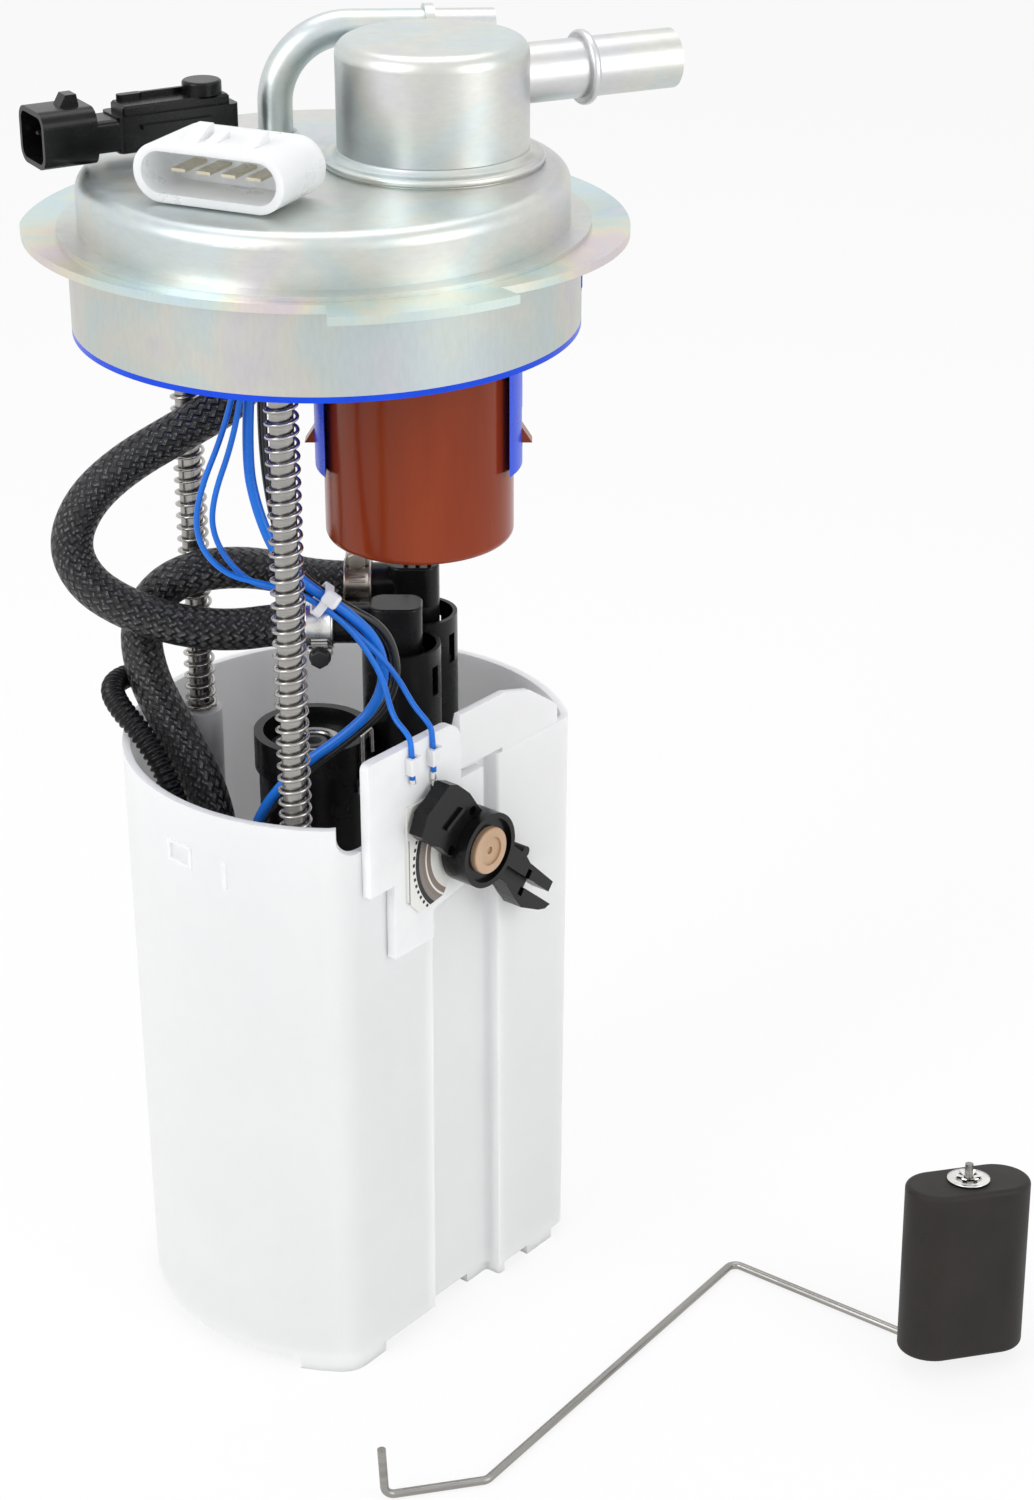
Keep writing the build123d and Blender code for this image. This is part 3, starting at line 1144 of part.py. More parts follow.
power_route = [
    (-18.4, -28.0, 325.0), (-18.4, -28.0, 303.0), (-20.6, -28.5, 272.0), (-18.6, -29.5, 259.0),
    (-13.6, -31.0, 245.5), (-6.4, -32.3, 238.2), (4.8, -31.7, 229.8), (12.5, -27.5, 220.0),
    (14.8, -24.5, 208.0), (11.5, -24.0, 197.5), (2.5, -25.0, 189.0), (-9.0, -27.0, 181.5),
    (-19.0, -26.5, 170.0), (-24.5, -21.5, 156.0), (-21.0, -14.0, 141.0), (*power_end, 131.0),
    (*power_end, wire_plug_top),
]
ground_route = [
    (-14.4, -26.2, 325.0), (-14.4, -26.2, 303.0), (-15.6, -25.6, 275.0), (-13.8, -26.6, 256.0),
    (-11.3, -27.9, 245.0), (-6.8, -28.9, 237.9), (4.5, -28.3, 229.5), (15.2, -23.4, 221.2),
    (18.2, -20.6, 207.0), (14.5, -19.8, 195.5), (4.0, -21.5, 186.5), (-8.0, -23.5, 178.0),
    (-18.5, -22.2, 166.0), (-25.3, -16.1, 153.4), (-23.6, -11.0, 141.0), (*ground_end, 131.0),
    (*ground_end, wire_plug_top),
]
signal_a_route = [
    (-22.0, -27.0, 325.0), (-22.0, -27.0, 303.0), (-26.0, -29.0, 282.0), (-34.0, -31.0, 262.0),
    (-34.5, -32.5, 250.0), (-27.5, -34.0, 241.5), (-17.0, -34.8, 239.0), (-7.6, -34.4, 236.6),
    (3.6, -33.6, 228.2), (10.0, -33.6, 219.5), (14.5, -34.5, 211.0),
]
signal_b_route = [
    (-20.2, -31.4, 325.0), (-20.2, -31.4, 303.0), (-24.0, -31.6, 280.0), (-30.5, -31.8, 260.0),
    (-29.5, -31.6, 249.0), (-22.5, -31.6, 239.0), (-15.0, -32.0, 236.6), (-8.0, -32.8, 236.0),
    (3.2, -32.0, 227.6), (12.0, -30.6, 218.0), (18.0, -30.0, 210.0),
]
signal_ride = bracket_face + signal_wire_r + weld_gap
for route_points, (along, height) in zip((signal_a_route, signal_b_route), terminal_places):
    terminal_top = height + terminal_length / 2
    for out, rise in signal_rises:
        route_points.append(tuple(on_wall(wall_near + out, along, bracket_top + rise).origin))
    route_points.append(tuple(on_wall(signal_ride, along, bracket_top + 1.2).origin))
    route_points.append(tuple(on_wall(signal_ride, along, terminal_top).origin))

cords = {}
for name, radius, points in (
    ("feed_hose", hose_r, feed_hose_route),
    ("return_hose", hose_r, return_hose_route),
    ("drain_tube", drain_r, drain_tube_route),
    ("power_wire", power_wire_r, power_route),
    ("ground_wire", ground_wire_r, ground_route),
    ("signal_wire_a", signal_wire_r, signal_a_route),
    ("signal_wire_b", signal_wire_r, signal_b_route),
):
    with BuildPart() as cord:
        with BuildLine() as route:
            FilletPolyline(*points, radius=cord_radii(points))
        with BuildSketch(Plane(origin=route.wire() @ 0, z_dir=route.wire() % 0)):
            Circle(radius)
        sweep(path=route.wire())
    section_volume = pi * radius**2 * route.wire().length
    print(name, round(route.wire().length, 1), "mm, volume ratio", round(cord.part.volume / section_volume, 4))
    print(name, "radii", [round(r, 1) for r in cord_radii(points)])
    cord.part.label = name
    cords[name] = cord

with BuildPart() as wire_plug:
    with BuildSketch(turned(pump_x, pump_y, wire_plug_top, wire_plug_turn)):
        with Locations((tower_r + wire_plug_size / 2, 0)):
            RectangleRounded(wire_plug_size, wire_plug_size, 1.0)
    extrude(amount=-wire_plug_height)
wire_plug.part.label = "wire_plug"

with BuildPart() as cable_tie:
    with BuildSketch(Plane(origin=tie_place, x_dir=(0, 1, 0), z_dir=(0.8, 0.05, -0.6))):
        RectangleRounded(tie_length, tie_height, 2.5)
        RectangleRounded(tie_length - 2 * tie_wall, tie_height - 2 * tie_wall, 2.0, mode=Mode.SUBTRACT)
    extrude(amount=tie_width / 2, both=True)
cable_tie.part.label = "cable_tie"

clip_reach = tower_r + collar_rise + clip_fit + clip_wire_r
spring_plane = facing(pump_x, pump_y, tower_top, clip_turn_about).offset(clip_reach)
clip_points = [
    (-clip_half, -clip_low, -collar_rise), (-clip_half, -collar_height - 2.6, 0.1 - collar_rise),
    (-clip_half, -collar_height - 0.8, 0.1), (-clip_half, clip_high, 0),
    (clip_half, clip_high + 0.1, 0), (clip_half, -0.4 * collar_height, 0.1),
]
with BuildPart() as retaining_clip:
    with BuildLine() as route:
        FilletPolyline(*[tuple(spring_plane.from_local_coords(p)) for p in clip_points], radius=0.8)
    with BuildSketch(Plane(origin=route.wire() @ 0, z_dir=route.wire() % 0)):
        Circle(clip_wire_r)
    sweep(path=route.wire())
retaining_clip.part.label = "retaining_clip"

with BuildPart() as pressure_regulator:
    with BuildSketch(Plane.XY.offset(canister_deck)):
        with Locations((regulator_x, regulator_y)):
            Circle(canister_r - canister_wall - regulator_fit)
            Circle(elbow_leg_r + weld_gap, mode=Mode.SUBTRACT)
    extrude(amount=regulator_height)
pressure_regulator.part.label = "pressure_regulator"

# Loose float arm: bent wire on the floor, the float turns on its upright leg
arm_points = [arm_hook]
for x, y in arm_route:
    arm_points.append((x, y, arm_wire_r))
lean = Vector(*arm_lean).normalized()
leg_foot = Vector(*arm_points[-1])
leg_tip = leg_foot + lean * arm_leg_length
arm_points.append(tuple(leg_tip))
with BuildPart() as float_arm_wire:
    with BuildLine() as route:
        FilletPolyline(*arm_points, radius=arm_bend_r)
    with BuildSketch(Plane(origin=route.wire() @ 0, z_dir=route.wire() % 0)):
        Circle(arm_wire_r)
    sweep(path=route.wire())
float_arm_wire.part.label = "float_arm_wire"

float_side = Vector(cos(radians(float_turn)), sin(radians(float_turn)), 0)
float_side = (float_side - lean * float_side.dot(lean)).normalized()
float_plane = Plane(origin=leg_foot + lean * float_up, x_dir=float_side, z_dir=lean)
with BuildPart() as level_float:
    with BuildSketch(float_plane):
        SlotOverall(float_length, float_thick)
    extrude(amount=float_height)
    float_ends = level_float.faces().sort_by(lambda f: f.center().dot(lean))
    fillet(float_ends[0].edges() + float_ends[-1].edges(), float_round)
    with BuildSketch(float_plane):
        Circle(arm_wire_r + float_fit)
    extrude(amount=float_height, mode=Mode.SUBTRACT)
level_float.part.label = "level_float"

with BuildPart() as push_nut:
    with BuildSketch(float_plane.offset(float_height + 0.3)):
        Circle(nut_r)
        Circle(arm_wire_r + 0.01, mode=Mode.SUBTRACT)
    extrude(amount=nut_thick)
push_nut.part.label = "push_nut"

os.makedirs("parts", exist_ok=True)
pieces = [
    cover_shell, cam_ring, skirt_ring, vapour_cap, vapour_tube, feed_tube, pressure_sensor_housing,
    pressure_sensor_lid, pressure_sensor_terminals, pressure_sensor_grommet, pump_connector_housing,
    pump_connector_terminals, carrier_ring, vent_valve_housing, vent_valve_base, vent_valve_float,
    rod_clips, reservoir, sensor_bracket, sensor_card, sensor_terminals, wiper_carrier, hub_bushing,
    wiper_contact, pump_holder, pump_can, pump_end_cap, pump_inlet_cover, pump_magnets, pump_armature,
    pump_impeller, pump_top_ring, inlet_strainer, inlet_check_valve, jet_pump, wire_plug, cable_tie,
    retaining_clip, pressure_regulator, float_arm_wire, level_float, push_nut,
]
for group in (guide_rods, guide_springs, canisters, elbows, clamps, cords):
    pieces.extend(group.values())
for piece in pieces:
    export_step(piece.part, f"parts/{piece.part.label}.step")
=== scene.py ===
import json
import math

import bmesh
import bpy
import numpy as np
from mathutils import Matrix, Vector


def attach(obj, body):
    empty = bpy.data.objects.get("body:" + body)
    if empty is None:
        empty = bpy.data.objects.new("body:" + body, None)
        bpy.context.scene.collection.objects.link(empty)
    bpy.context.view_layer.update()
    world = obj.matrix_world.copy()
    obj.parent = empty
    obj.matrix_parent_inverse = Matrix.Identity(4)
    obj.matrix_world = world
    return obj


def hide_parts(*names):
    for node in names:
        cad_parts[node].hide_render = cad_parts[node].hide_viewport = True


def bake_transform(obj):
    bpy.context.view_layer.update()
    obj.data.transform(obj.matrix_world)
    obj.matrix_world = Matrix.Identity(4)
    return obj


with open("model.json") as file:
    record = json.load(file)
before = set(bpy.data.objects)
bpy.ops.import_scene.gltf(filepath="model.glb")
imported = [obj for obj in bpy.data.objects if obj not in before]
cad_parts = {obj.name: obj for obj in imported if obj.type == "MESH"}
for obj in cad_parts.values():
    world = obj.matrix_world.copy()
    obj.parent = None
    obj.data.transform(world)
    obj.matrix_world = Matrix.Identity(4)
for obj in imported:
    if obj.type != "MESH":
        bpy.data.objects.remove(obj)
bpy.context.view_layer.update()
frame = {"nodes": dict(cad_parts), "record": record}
cad = frame["nodes"]


# The slanting wall that carries the level sensor: its outward normal, its level direction, and the hub on it
wall_out, wall_along = Vector((0.777146, -0.629320, 0)), Vector((0.629320, 0.777146, 0))
hub_along, hub_height = -0.001, 0.1595


def shader(name):
    """A material with a bare Principled shader, and a helper that adds linked nodes."""
    made = bpy.data.materials.new(name)
    made.use_nodes = True
    tree = made.node_tree
    tree.nodes.clear()
    out = tree.nodes.new("ShaderNodeOutputMaterial")
    bsdf = tree.nodes.new("ShaderNodeBsdfPrincipled")
    tree.links.new(bsdf.outputs[0], out.inputs["Surface"])

    def add(kind, inputs=None, **settings):
        node = tree.nodes.new("ShaderNode" + kind)
        for key, value in settings.items():
            setattr(node, key, value)
        for key, value in (inputs or {}).items():
            if isinstance(value, bpy.types.NodeSocket):
                tree.links.new(value, node.inputs[key])
            else:
                node.inputs[key].default_value = value
        return node

    return made, tree, bsdf, add


def ramp(add, tree, value, stops):
    """A colour from a value, between stops of (value, colour)."""
    node = add("ValToRGB", {"Fac": value})
    elements = node.color_ramp.elements
    elements[0].position, elements[0].color = stops[0][0], (*stops[0][1], 1)
    elements[1].position, elements[1].color = stops[-1][0], (*stops[-1][1], 1)
    for place, color in stops[1:-1]:
        element = elements.new(place)
        element.color = (*color, 1)
    return node.outputs["Color"]


def between(add, value, low, high, a=0.3, b=0.7):
    """A value from a to b mapped to low to high."""
    ends = {"From Min": a, "From Max": b, "To Min": low, "To Max": high}
    node = add("MapRange", {"Value": value, **ends})
    return node.outputs["Result"]


def arithmetic(add):
    """A helper that adds math nodes."""

    def calc(operation, a, b=None):
        inputs = {0: a} if b is None else {0: a, 1: b}
        return add("Math", inputs, operation=operation).outputs[0]

    return calc


def plain(name, stops, roughness, scale=90.0, grain=1200.0, bump=0.15, depth=0.0002, stretch=(1, 1, 1),
          metallic=0.0, **sockets):
    """Cloudy colour, uneven roughness and a fine grain, at sizes set per metre."""
    made, tree, bsdf, add = shader(name)
    place = add("TexCoord").outputs["Object"]
    stretched = add("Mapping", {"Vector": place, "Scale": stretch}).outputs["Vector"]
    cloud = add("TexNoise", {"Vector": stretched, "Scale": scale, "Detail": 5.0, "Roughness": 0.55})
    fine = add("TexNoise", {"Vector": stretched, "Scale": grain, "Detail": 3.0, "Roughness": 0.6})
    tree.links.new(ramp(add, tree, cloud.outputs["Fac"], stops), bsdf.inputs["Base Color"])
    rough = between(add, cloud.outputs["Fac"], *roughness)
    tree.links.new(rough, bsdf.inputs["Roughness"])
    bumped = add("Bump", {"Height": fine.outputs["Fac"], "Strength": bump, "Distance": depth})
    tree.links.new(bumped.outputs["Normal"], bsdf.inputs["Normal"])
    bsdf.inputs["Metallic"].default_value = metallic
    for key, value in sockets.items():
        bsdf.inputs[key.replace("_", " ")].default_value = value
    return made


def zinc(name, stretch, tint=1.0, streak=(0.90, 1.04), relief=0.12):
    """Zinc plated sheet: satin metal with a drifting rainbow film and rolled grain."""
    made, tree, bsdf, add = shader(name)
    place = add("TexCoord").outputs["Object"]
    film = add("TexNoise", {
        "Vector": place, "Scale": 26.0, "Detail": 3.0, "Roughness": 0.5, "Distortion": 0.6,
    })
    grey = (0.66, 0.69, 0.69)
    stops = [
        (0.25, (0.62, 0.66, 0.68)), (0.36, (0.70, 0.64, 0.66)), (0.44, (0.73, 0.70, 0.60)),
        (0.52, (0.62, 0.70, 0.66)), (0.60, (0.58, 0.68, 0.72)), (0.70, (0.70, 0.66, 0.72)), (0.80, grey),
    ]
    color = ramp(add, tree, film.outputs["Fac"], [
        (at, tuple(g + (c - g) * tint for c, g in zip(col, grey))) for at, col in stops
    ])
    rolled = add("Mapping", {"Vector": place, "Scale": stretch}).outputs["Vector"]
    grain = add("TexNoise", {"Vector": rolled, "Scale": 900.0, "Detail": 4.0, "Roughness": 0.65})
    dirt = add("TexNoise", {"Vector": place, "Scale": 140.0, "Detail": 6.0, "Roughness": 0.6})
    shade = between(add, grain.outputs["Fac"], *streak)
    mixed = add("Mix", {6: color, 7: (0, 0, 0, 1)}, data_type="RGBA", blend_type="MULTIPLY")
    grey_of = add("CombineColor", {"Red": shade, "Green": shade, "Blue": shade}).outputs["Color"]
    tree.links.new(grey_of, mixed.inputs[7])
    mixed.inputs[0].default_value = 1.0
    tree.links.new(mixed.outputs[2], bsdf.inputs["Base Color"])
    tree.links.new(between(add, dirt.outputs["Fac"], 0.36, 0.44), bsdf.inputs["Roughness"])
    bumped = add("Bump", {"Height": grain.outputs["Fac"], "Strength": relief, "Distance": 0.0001})
    tree.links.new(bumped.outputs["Normal"], bsdf.inputs["Normal"])
    bsdf.inputs["Metallic"].default_value = 1.0
    return made


def braided(name):
    """Braided sleeve: two crossing sets of strands with fine filaments. UV: turns, metres."""
    made, tree, bsdf, add = shader(name)
    uv = add("SeparateXYZ", {"Vector": add("TexCoord").outputs["UV"]})
    calc = arithmetic(add)
    strands_around, strands_per_metre = 15.0, 330.0
    around = calc("MULTIPLY", uv.outputs["X"], strands_around)
    along = calc("MULTIPLY", uv.outputs["Y"], strands_per_metre)
    right = calc("ADD", around, along)
    left = calc("SUBTRACT", around, along)
    ridge_r = calc("ABSOLUTE", calc("SINE", calc("MULTIPLY", right, math.pi)))
    ridge_l = calc("ABSOLUTE", calc("SINE", calc("MULTIPLY", left, math.pi)))
    cell = calc("FLOORED_MODULO", calc("ADD", calc("FLOOR", right), calc("FLOOR", left)), 2.0)
    over = calc("GREATER_THAN", cell, 0.5)
    under = calc("SUBTRACT", 1.0, over)
    height = calc("ADD", calc("MULTIPLY", ridge_r, over), calc("MULTIPLY", ridge_l, under))
    thread_r = calc("SINE", calc("MULTIPLY", right, 8 * math.pi))
    thread_l = calc("SINE", calc("MULTIPLY", left, 8 * math.pi))
    thread = calc("ADD", calc("MULTIPLY", thread_r, over), calc("MULTIPLY", thread_l, under))
    full = calc("ADD", height, calc("MULTIPLY", thread, 0.10))
    # Painted shade: colour darker in the hollows between strands and lighter on their crests
    strands = ramp(add, tree, height, [
        (0.0, (0.001, 0.001, 0.001)), (0.7, (0.005, 0.005, 0.005)), (1.0, (0.018, 0.018, 0.019)),
    ])
    # Painted highlights: pale grey flecks on the strand crests, scattered by noise, stand in for glints of
    # light on the braid
    glint_noise = add("TexNoise", {"Vector": add("TexCoord").outputs["Object"], "Scale": 1100.0, "Detail": 2.0})
    crest = calc("GREATER_THAN", height, 0.86)
    painted_glint = calc("MULTIPLY", calc("GREATER_THAN", glint_noise.outputs["Fac"], 0.54), crest)
    glint_mix = {0: calc("MULTIPLY", painted_glint, 0.8), 6: strands, 7: (0.13, 0.13, 0.135, 1)}
    lit = add("Mix", glint_mix, data_type="RGBA")
    tree.links.new(lit.outputs[2], bsdf.inputs["Base Color"])
    bumped = add("Bump", {"Height": full, "Strength": 0.9, "Distance": 0.0006})
    tree.links.new(bumped.outputs["Normal"], bsdf.inputs["Normal"])
    bsdf.inputs["Roughness"].default_value = 0.36
    bsdf.inputs["Specular IOR Level"].default_value = 0.45
    return made


def machined(name, color, roughness, pitch):
    """Turned or drawn steel: fine rings across the length."""
    made, tree, bsdf, add = shader(name)
    place = add("TexCoord").outputs["Object"]
    rings = add("Mapping", {"Vector": place, "Scale": (0.05, 0.05, 1.0)}).outputs["Vector"]
    lines = add("TexNoise", {"Vector": rings, "Scale": pitch, "Detail": 3.0, "Roughness": 0.6})
    cloud = add("TexNoise", {"Vector": place, "Scale": 120.0, "Detail": 4.0})
    dark = tuple(c * 0.78 for c in color)
    tone = ramp(add, tree, lines.outputs["Fac"], [(0.3, dark), (0.7, color)])
    tree.links.new(tone, bsdf.inputs["Base Color"])
    tree.links.new(between(add, cloud.outputs["Fac"], *roughness), bsdf.inputs["Roughness"])
    bumped = add("Bump", {"Height": lines.outputs["Fac"], "Strength": 0.25, "Distance": 0.0001})
    tree.links.new(bumped.outputs["Normal"], bsdf.inputs["Normal"])
    bsdf.inputs["Metallic"].default_value = 1.0
    return made


def printed_card(name):
    """Card of the level sensor: grey and black arcs about the hub and a row of teeth outside them."""
    made, tree, bsdf, add = shader(name)
    place = add("SeparateXYZ", {"Vector": add("TexCoord").outputs["Object"]})
    calc = arithmetic(add)
    along_x = calc("MULTIPLY", place.outputs["X"], wall_along.x)
    along_y = calc("MULTIPLY", place.outputs["Y"], wall_along.y)
    across = calc("MULTIPLY", calc("SUBTRACT", calc("ADD", along_x, along_y), hub_along), -1000.0)
    height = calc("MULTIPLY", calc("SUBTRACT", place.outputs["Z"], hub_height), 1000.0)
    reach = calc("SQRT", calc("ADD", calc("MULTIPLY", across, across), calc("MULTIPLY", height, height)))
    turn = calc("ARCTAN2", height, across)
    widest = 25.0
    bands = add("ValToRGB", {"Fac": calc("DIVIDE", reach, widest)})
    bands.color_ramp.interpolation = "CONSTANT"
    paper = (0.78, 0.78, 0.75, 1)
    grey, brown, black = (0.30, 0.27, 0.25, 1), (0.23, 0.18, 0.15, 1), (0.012, 0.011, 0.011, 1)
    elements = bands.color_ramp.elements
    elements[0].position, elements[0].color = 0.0, paper
    elements[1].position, elements[1].color = 20.3 / widest, paper
    for radius, color in ((13.9, brown), (15.6, paper), (16.2, brown), (17.3, grey), (18.8, black)):
        elements.new(radius / widest).color = color

    def within(value, low, high):
        return calc("MULTIPLY", calc("GREATER_THAN", value, low), calc("LESS_THAN", value, high))

    def near(value, middle, half):
        return calc("LESS_THAN", calc("ABSOLUTE", calc("SUBTRACT", value, middle)), half)

    comb = calc("GREATER_THAN", calc("SINE", calc("MULTIPLY", turn, 260.0)), 0.2)
    in_comb = within(reach, 17.3, 18.8)
    teeth = calc("GREATER_THAN", calc("SINE", calc("MULTIPLY", turn, 58.0)), 0.1)
    in_teeth = within(reach, 20.6, 21.5)
    column = near(across, 22.9, 0.22)
    spot = calc("MULTIPLY", near(across, 19.8, 0.9), near(height, 15.8, 1.2))
    in_column = within(height, -11.0, 9.0)
    inside = within(turn, math.radians(-57), math.radians(70))
    arcs = add("Mix", {0: inside, 6: paper, 7: bands.outputs["Color"]}, data_type="RGBA").outputs[2]
    marks = calc("MULTIPLY", calc("MULTIPLY", teeth, in_teeth), inside)
    marks = calc("MAXIMUM", marks, calc("MULTIPLY", calc("MULTIPLY", column, 0.75), in_column))
    marks = calc("MAXIMUM", marks, spot)
    comb_marks = calc("MULTIPLY", calc("MULTIPLY", comb, in_comb), inside)
    marks = calc("MAXIMUM", marks, calc("MULTIPLY", comb_marks, 0.6))
    color = add("Mix", {0: marks, 6: arcs, 7: black}, data_type="RGBA").outputs[2]
    tree.links.new(color, bsdf.inputs["Base Color"])
    grain = add("TexNoise", {"Vector": add("TexCoord").outputs["Object"], "Scale": 900.0, "Detail": 3.0})
    tree.links.new(between(add, grain.outputs["Fac"], 0.42, 0.60), bsdf.inputs["Roughness"])
    bumped = add("Bump", {"Height": grain.outputs["Fac"], "Strength": 0.1, "Distance": 0.0001})
    tree.links.new(bumped.outputs["Normal"], bsdf.inputs["Normal"])
    return made


looks = {
    "zinc_plate": zinc("zinc_plate", (0.3, 0.3, 1.0), 0.45, (0.88, 0.95), 0.06),
    "zinc_skirt": zinc("zinc_skirt", (1.0, 1.0, 0.3), 0.6, (0.80, 0.86), 0.05),
    "zinc_ring": zinc("zinc_ring", (1.0, 1.0, 0.3), 1.2, (0.95, 1.0), 0.05),
    "bare_steel": machined("bare_steel", (0.40, 0.39, 0.37), (0.18, 0.30), 1500.0),
    "spring_steel": machined("spring_steel", (0.50, 0.48, 0.46), (0.18, 0.30), 500.0),
    "arm_steel": machined("arm_steel", (0.36, 0.35, 0.33), (0.28, 0.42), 800.0),
    "black_plastic": plain(
        "black_plastic", [(0.3, (0.003, 0.003, 0.0035)), (0.7, (0.007, 0.007, 0.0075))], (0.20, 0.32),
        Specular_IOR_Level=0.24,
    ),
    "grey_plastic": plain(
        "grey_plastic", [(0.3, (0.05, 0.05, 0.053)), (0.7, (0.08, 0.08, 0.083))], (0.35, 0.5),
    ),
    "blue_plastic": plain(
        "blue_plastic", [(0.3, (0.001, 0.050, 0.60)), (0.7, (0.002, 0.066, 0.72))], (0.24, 0.34),
        Specular_IOR_Level=0.22,
    ),
    "brown_plastic": plain(
        "brown_plastic", [(0.3, (0.21, 0.026, 0.003)), (0.7, (0.28, 0.040, 0.006))], (0.14, 0.24),
        scale=60.0, stretch=(1, 1, 0.15), Specular_IOR_Level=0.28,
    ),
    "white_plastic": plain(
        "white_plastic", [(0.3, (0.80, 0.81, 0.82)), (0.7, (0.86, 0.87, 0.87))], (0.30, 0.42),
        Subsurface_Weight=0.35, Subsurface_Scale=0.004, Subsurface_Radius=(1.0, 1.0, 1.0),
    ),
    "cup_plastic": plain(
        "cup_plastic", [(0.3, (0.90, 0.905, 0.91)), (0.7, (0.94, 0.945, 0.95))], (0.28, 0.40), scale=24.0,
        Subsurface_Weight=0.5, Subsurface_Scale=0.015, Subsurface_Radius=(1.0, 1.0, 1.0),
    ),
    "milky_plastic": plain(
        "milky_plastic", [(0.3, (0.86, 0.88, 0.90)), (0.7, (0.92, 0.94, 0.95))], (0.26, 0.38),
        Subsurface_Weight=0.6, Subsurface_Scale=0.006, Subsurface_Radius=(1.0, 1.0, 1.0),
        Transmission_Weight=0.1,
    ),
    "tan_plastic": plain("tan_plastic", [(0.3, (0.46, 0.30, 0.18)), (0.7, (0.54, 0.37, 0.24))], (0.36, 0.5)),
    "rubber_black": plain(
        "rubber_black", [(0.3, (0.010, 0.010, 0.010)), (0.7, (0.018, 0.018, 0.018))], (0.5, 0.7),
    ),
    "braid": braided("braid"),
    "blue_wire": plain(
        "blue_wire", [(0.3, (0.003, 0.13, 0.58)), (0.7, (0.005, 0.17, 0.70))], (0.24, 0.36),
        Specular_IOR_Level=0.35,
    ),
    "black_wire": plain(
        "black_wire", [(0.3, (0.006, 0.006, 0.007)), (0.7, (0.014, 0.014, 0.015))], (0.18, 0.30),
    ),
    "brass": plain(
        "brass", [(0.3, (0.55, 0.50, 0.38)), (0.7, (0.68, 0.62, 0.48))], (0.2, 0.34), metallic=1.0,
    ),
    "card": printed_card("card"),
    "magnet": plain("magnet", [(0.3, (0.03, 0.03, 0.032)), (0.7, (0.05, 0.05, 0.055))], (0.5, 0.7)),
    "copper": plain(
        "copper", [(0.3, (0.42, 0.18, 0.08)), (0.7, (0.55, 0.26, 0.12))], (0.3, 0.45), metallic=1.0,
    ),
    "float_foam": plain(
        "float_foam", [(0.3, (0.010, 0.008, 0.007)), (0.7, (0.020, 0.016, 0.014))], (0.45, 0.65),
        scale=45.0, grain=1600.0, bump=0.3, Specular_IOR_Level=0.3,
    ),
    "tarnished": plain(
        "tarnished", [(0.3, (0.20, 0.16, 0.13)), (0.7, (0.50, 0.45, 0.40))], (0.22, 0.40), metallic=1.0,
    ),
    "dark_screw": plain(
        "dark_screw", [(0.3, (0.03, 0.03, 0.03)), (0.7, (0.07, 0.07, 0.07))], (0.25, 0.4), metallic=0.6,
    ),
    "tin": plain("tin", [(0.3, (0.66, 0.66, 0.64)), (0.7, (0.86, 0.86, 0.84))], (0.2, 0.34), metallic=1.0),
}
slot_of = {part["node"]: part["material_slot"] for part in frame["record"]["subparts"]}
own_look = {"skirt_ring": "zinc_skirt", "cam_ring": "zinc_ring", "pump_connector_housing": "milky_plastic"}
for node, obj in cad.items():
    look = looks[own_look.get(node, slot_of[node])]
    for part in obj.material_slots:
        part.material = look
    for polygon in obj.data.polygons:
        polygon.use_smooth = True


def dress(piece, look, body=None, slot=None):
    """Gives a new piece its material and body; slot is not used."""
    piece.data.materials.clear()
    piece.data.materials.append(looks[look])
    if body:
        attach(piece, body)
    slot or look
    return piece


def mesh_piece(name, vertices, faces):
    """A smooth shaded mesh object."""
    data = bpy.data.meshes.new(name)
    data.from_pydata([tuple(v) for v in vertices], [], faces)
    data.validate()
    for polygon in data.polygons:
        polygon.use_smooth = True
    piece = bpy.data.objects.new(name, data)
    bpy.context.collection.objects.link(piece)
    return piece


def spline_points(route):
    """The route's points as a smooth NURBS line, in metres."""
    data = bpy.data.curves.new("route", "CURVE")
    data.dimensions = "3D"
    data.resolution_u = 24
    line = data.splines.new("NURBS")
    line.points.add(len(route) - 1)
    for point, place in zip(line.points, route):
        point.co = (*place, 1)
    line.order_u = 3
    line.use_endpoint_u = True
    holder = bpy.data.objects.new("route", data)
    mesh = bpy.data.meshes.new_from_object(holder)
    points = np.array([v.co[:] for v in mesh.vertices])
    bpy.data.objects.remove(holder)
    bpy.data.meshes.remove(mesh)
    return points


def even(points, step):
    """The line's points at even steps, and the length so far at each."""
    lengths = np.concatenate([[0], np.cumsum(np.linalg.norm(np.diff(points, axis=0), axis=1))])
    count = max(4, int(lengths[-1] / step))
    at = np.linspace(0, lengths[-1], count + 1)
    return np.stack([np.interp(at, lengths, points[:, k]) for k in range(3)], axis=1), at


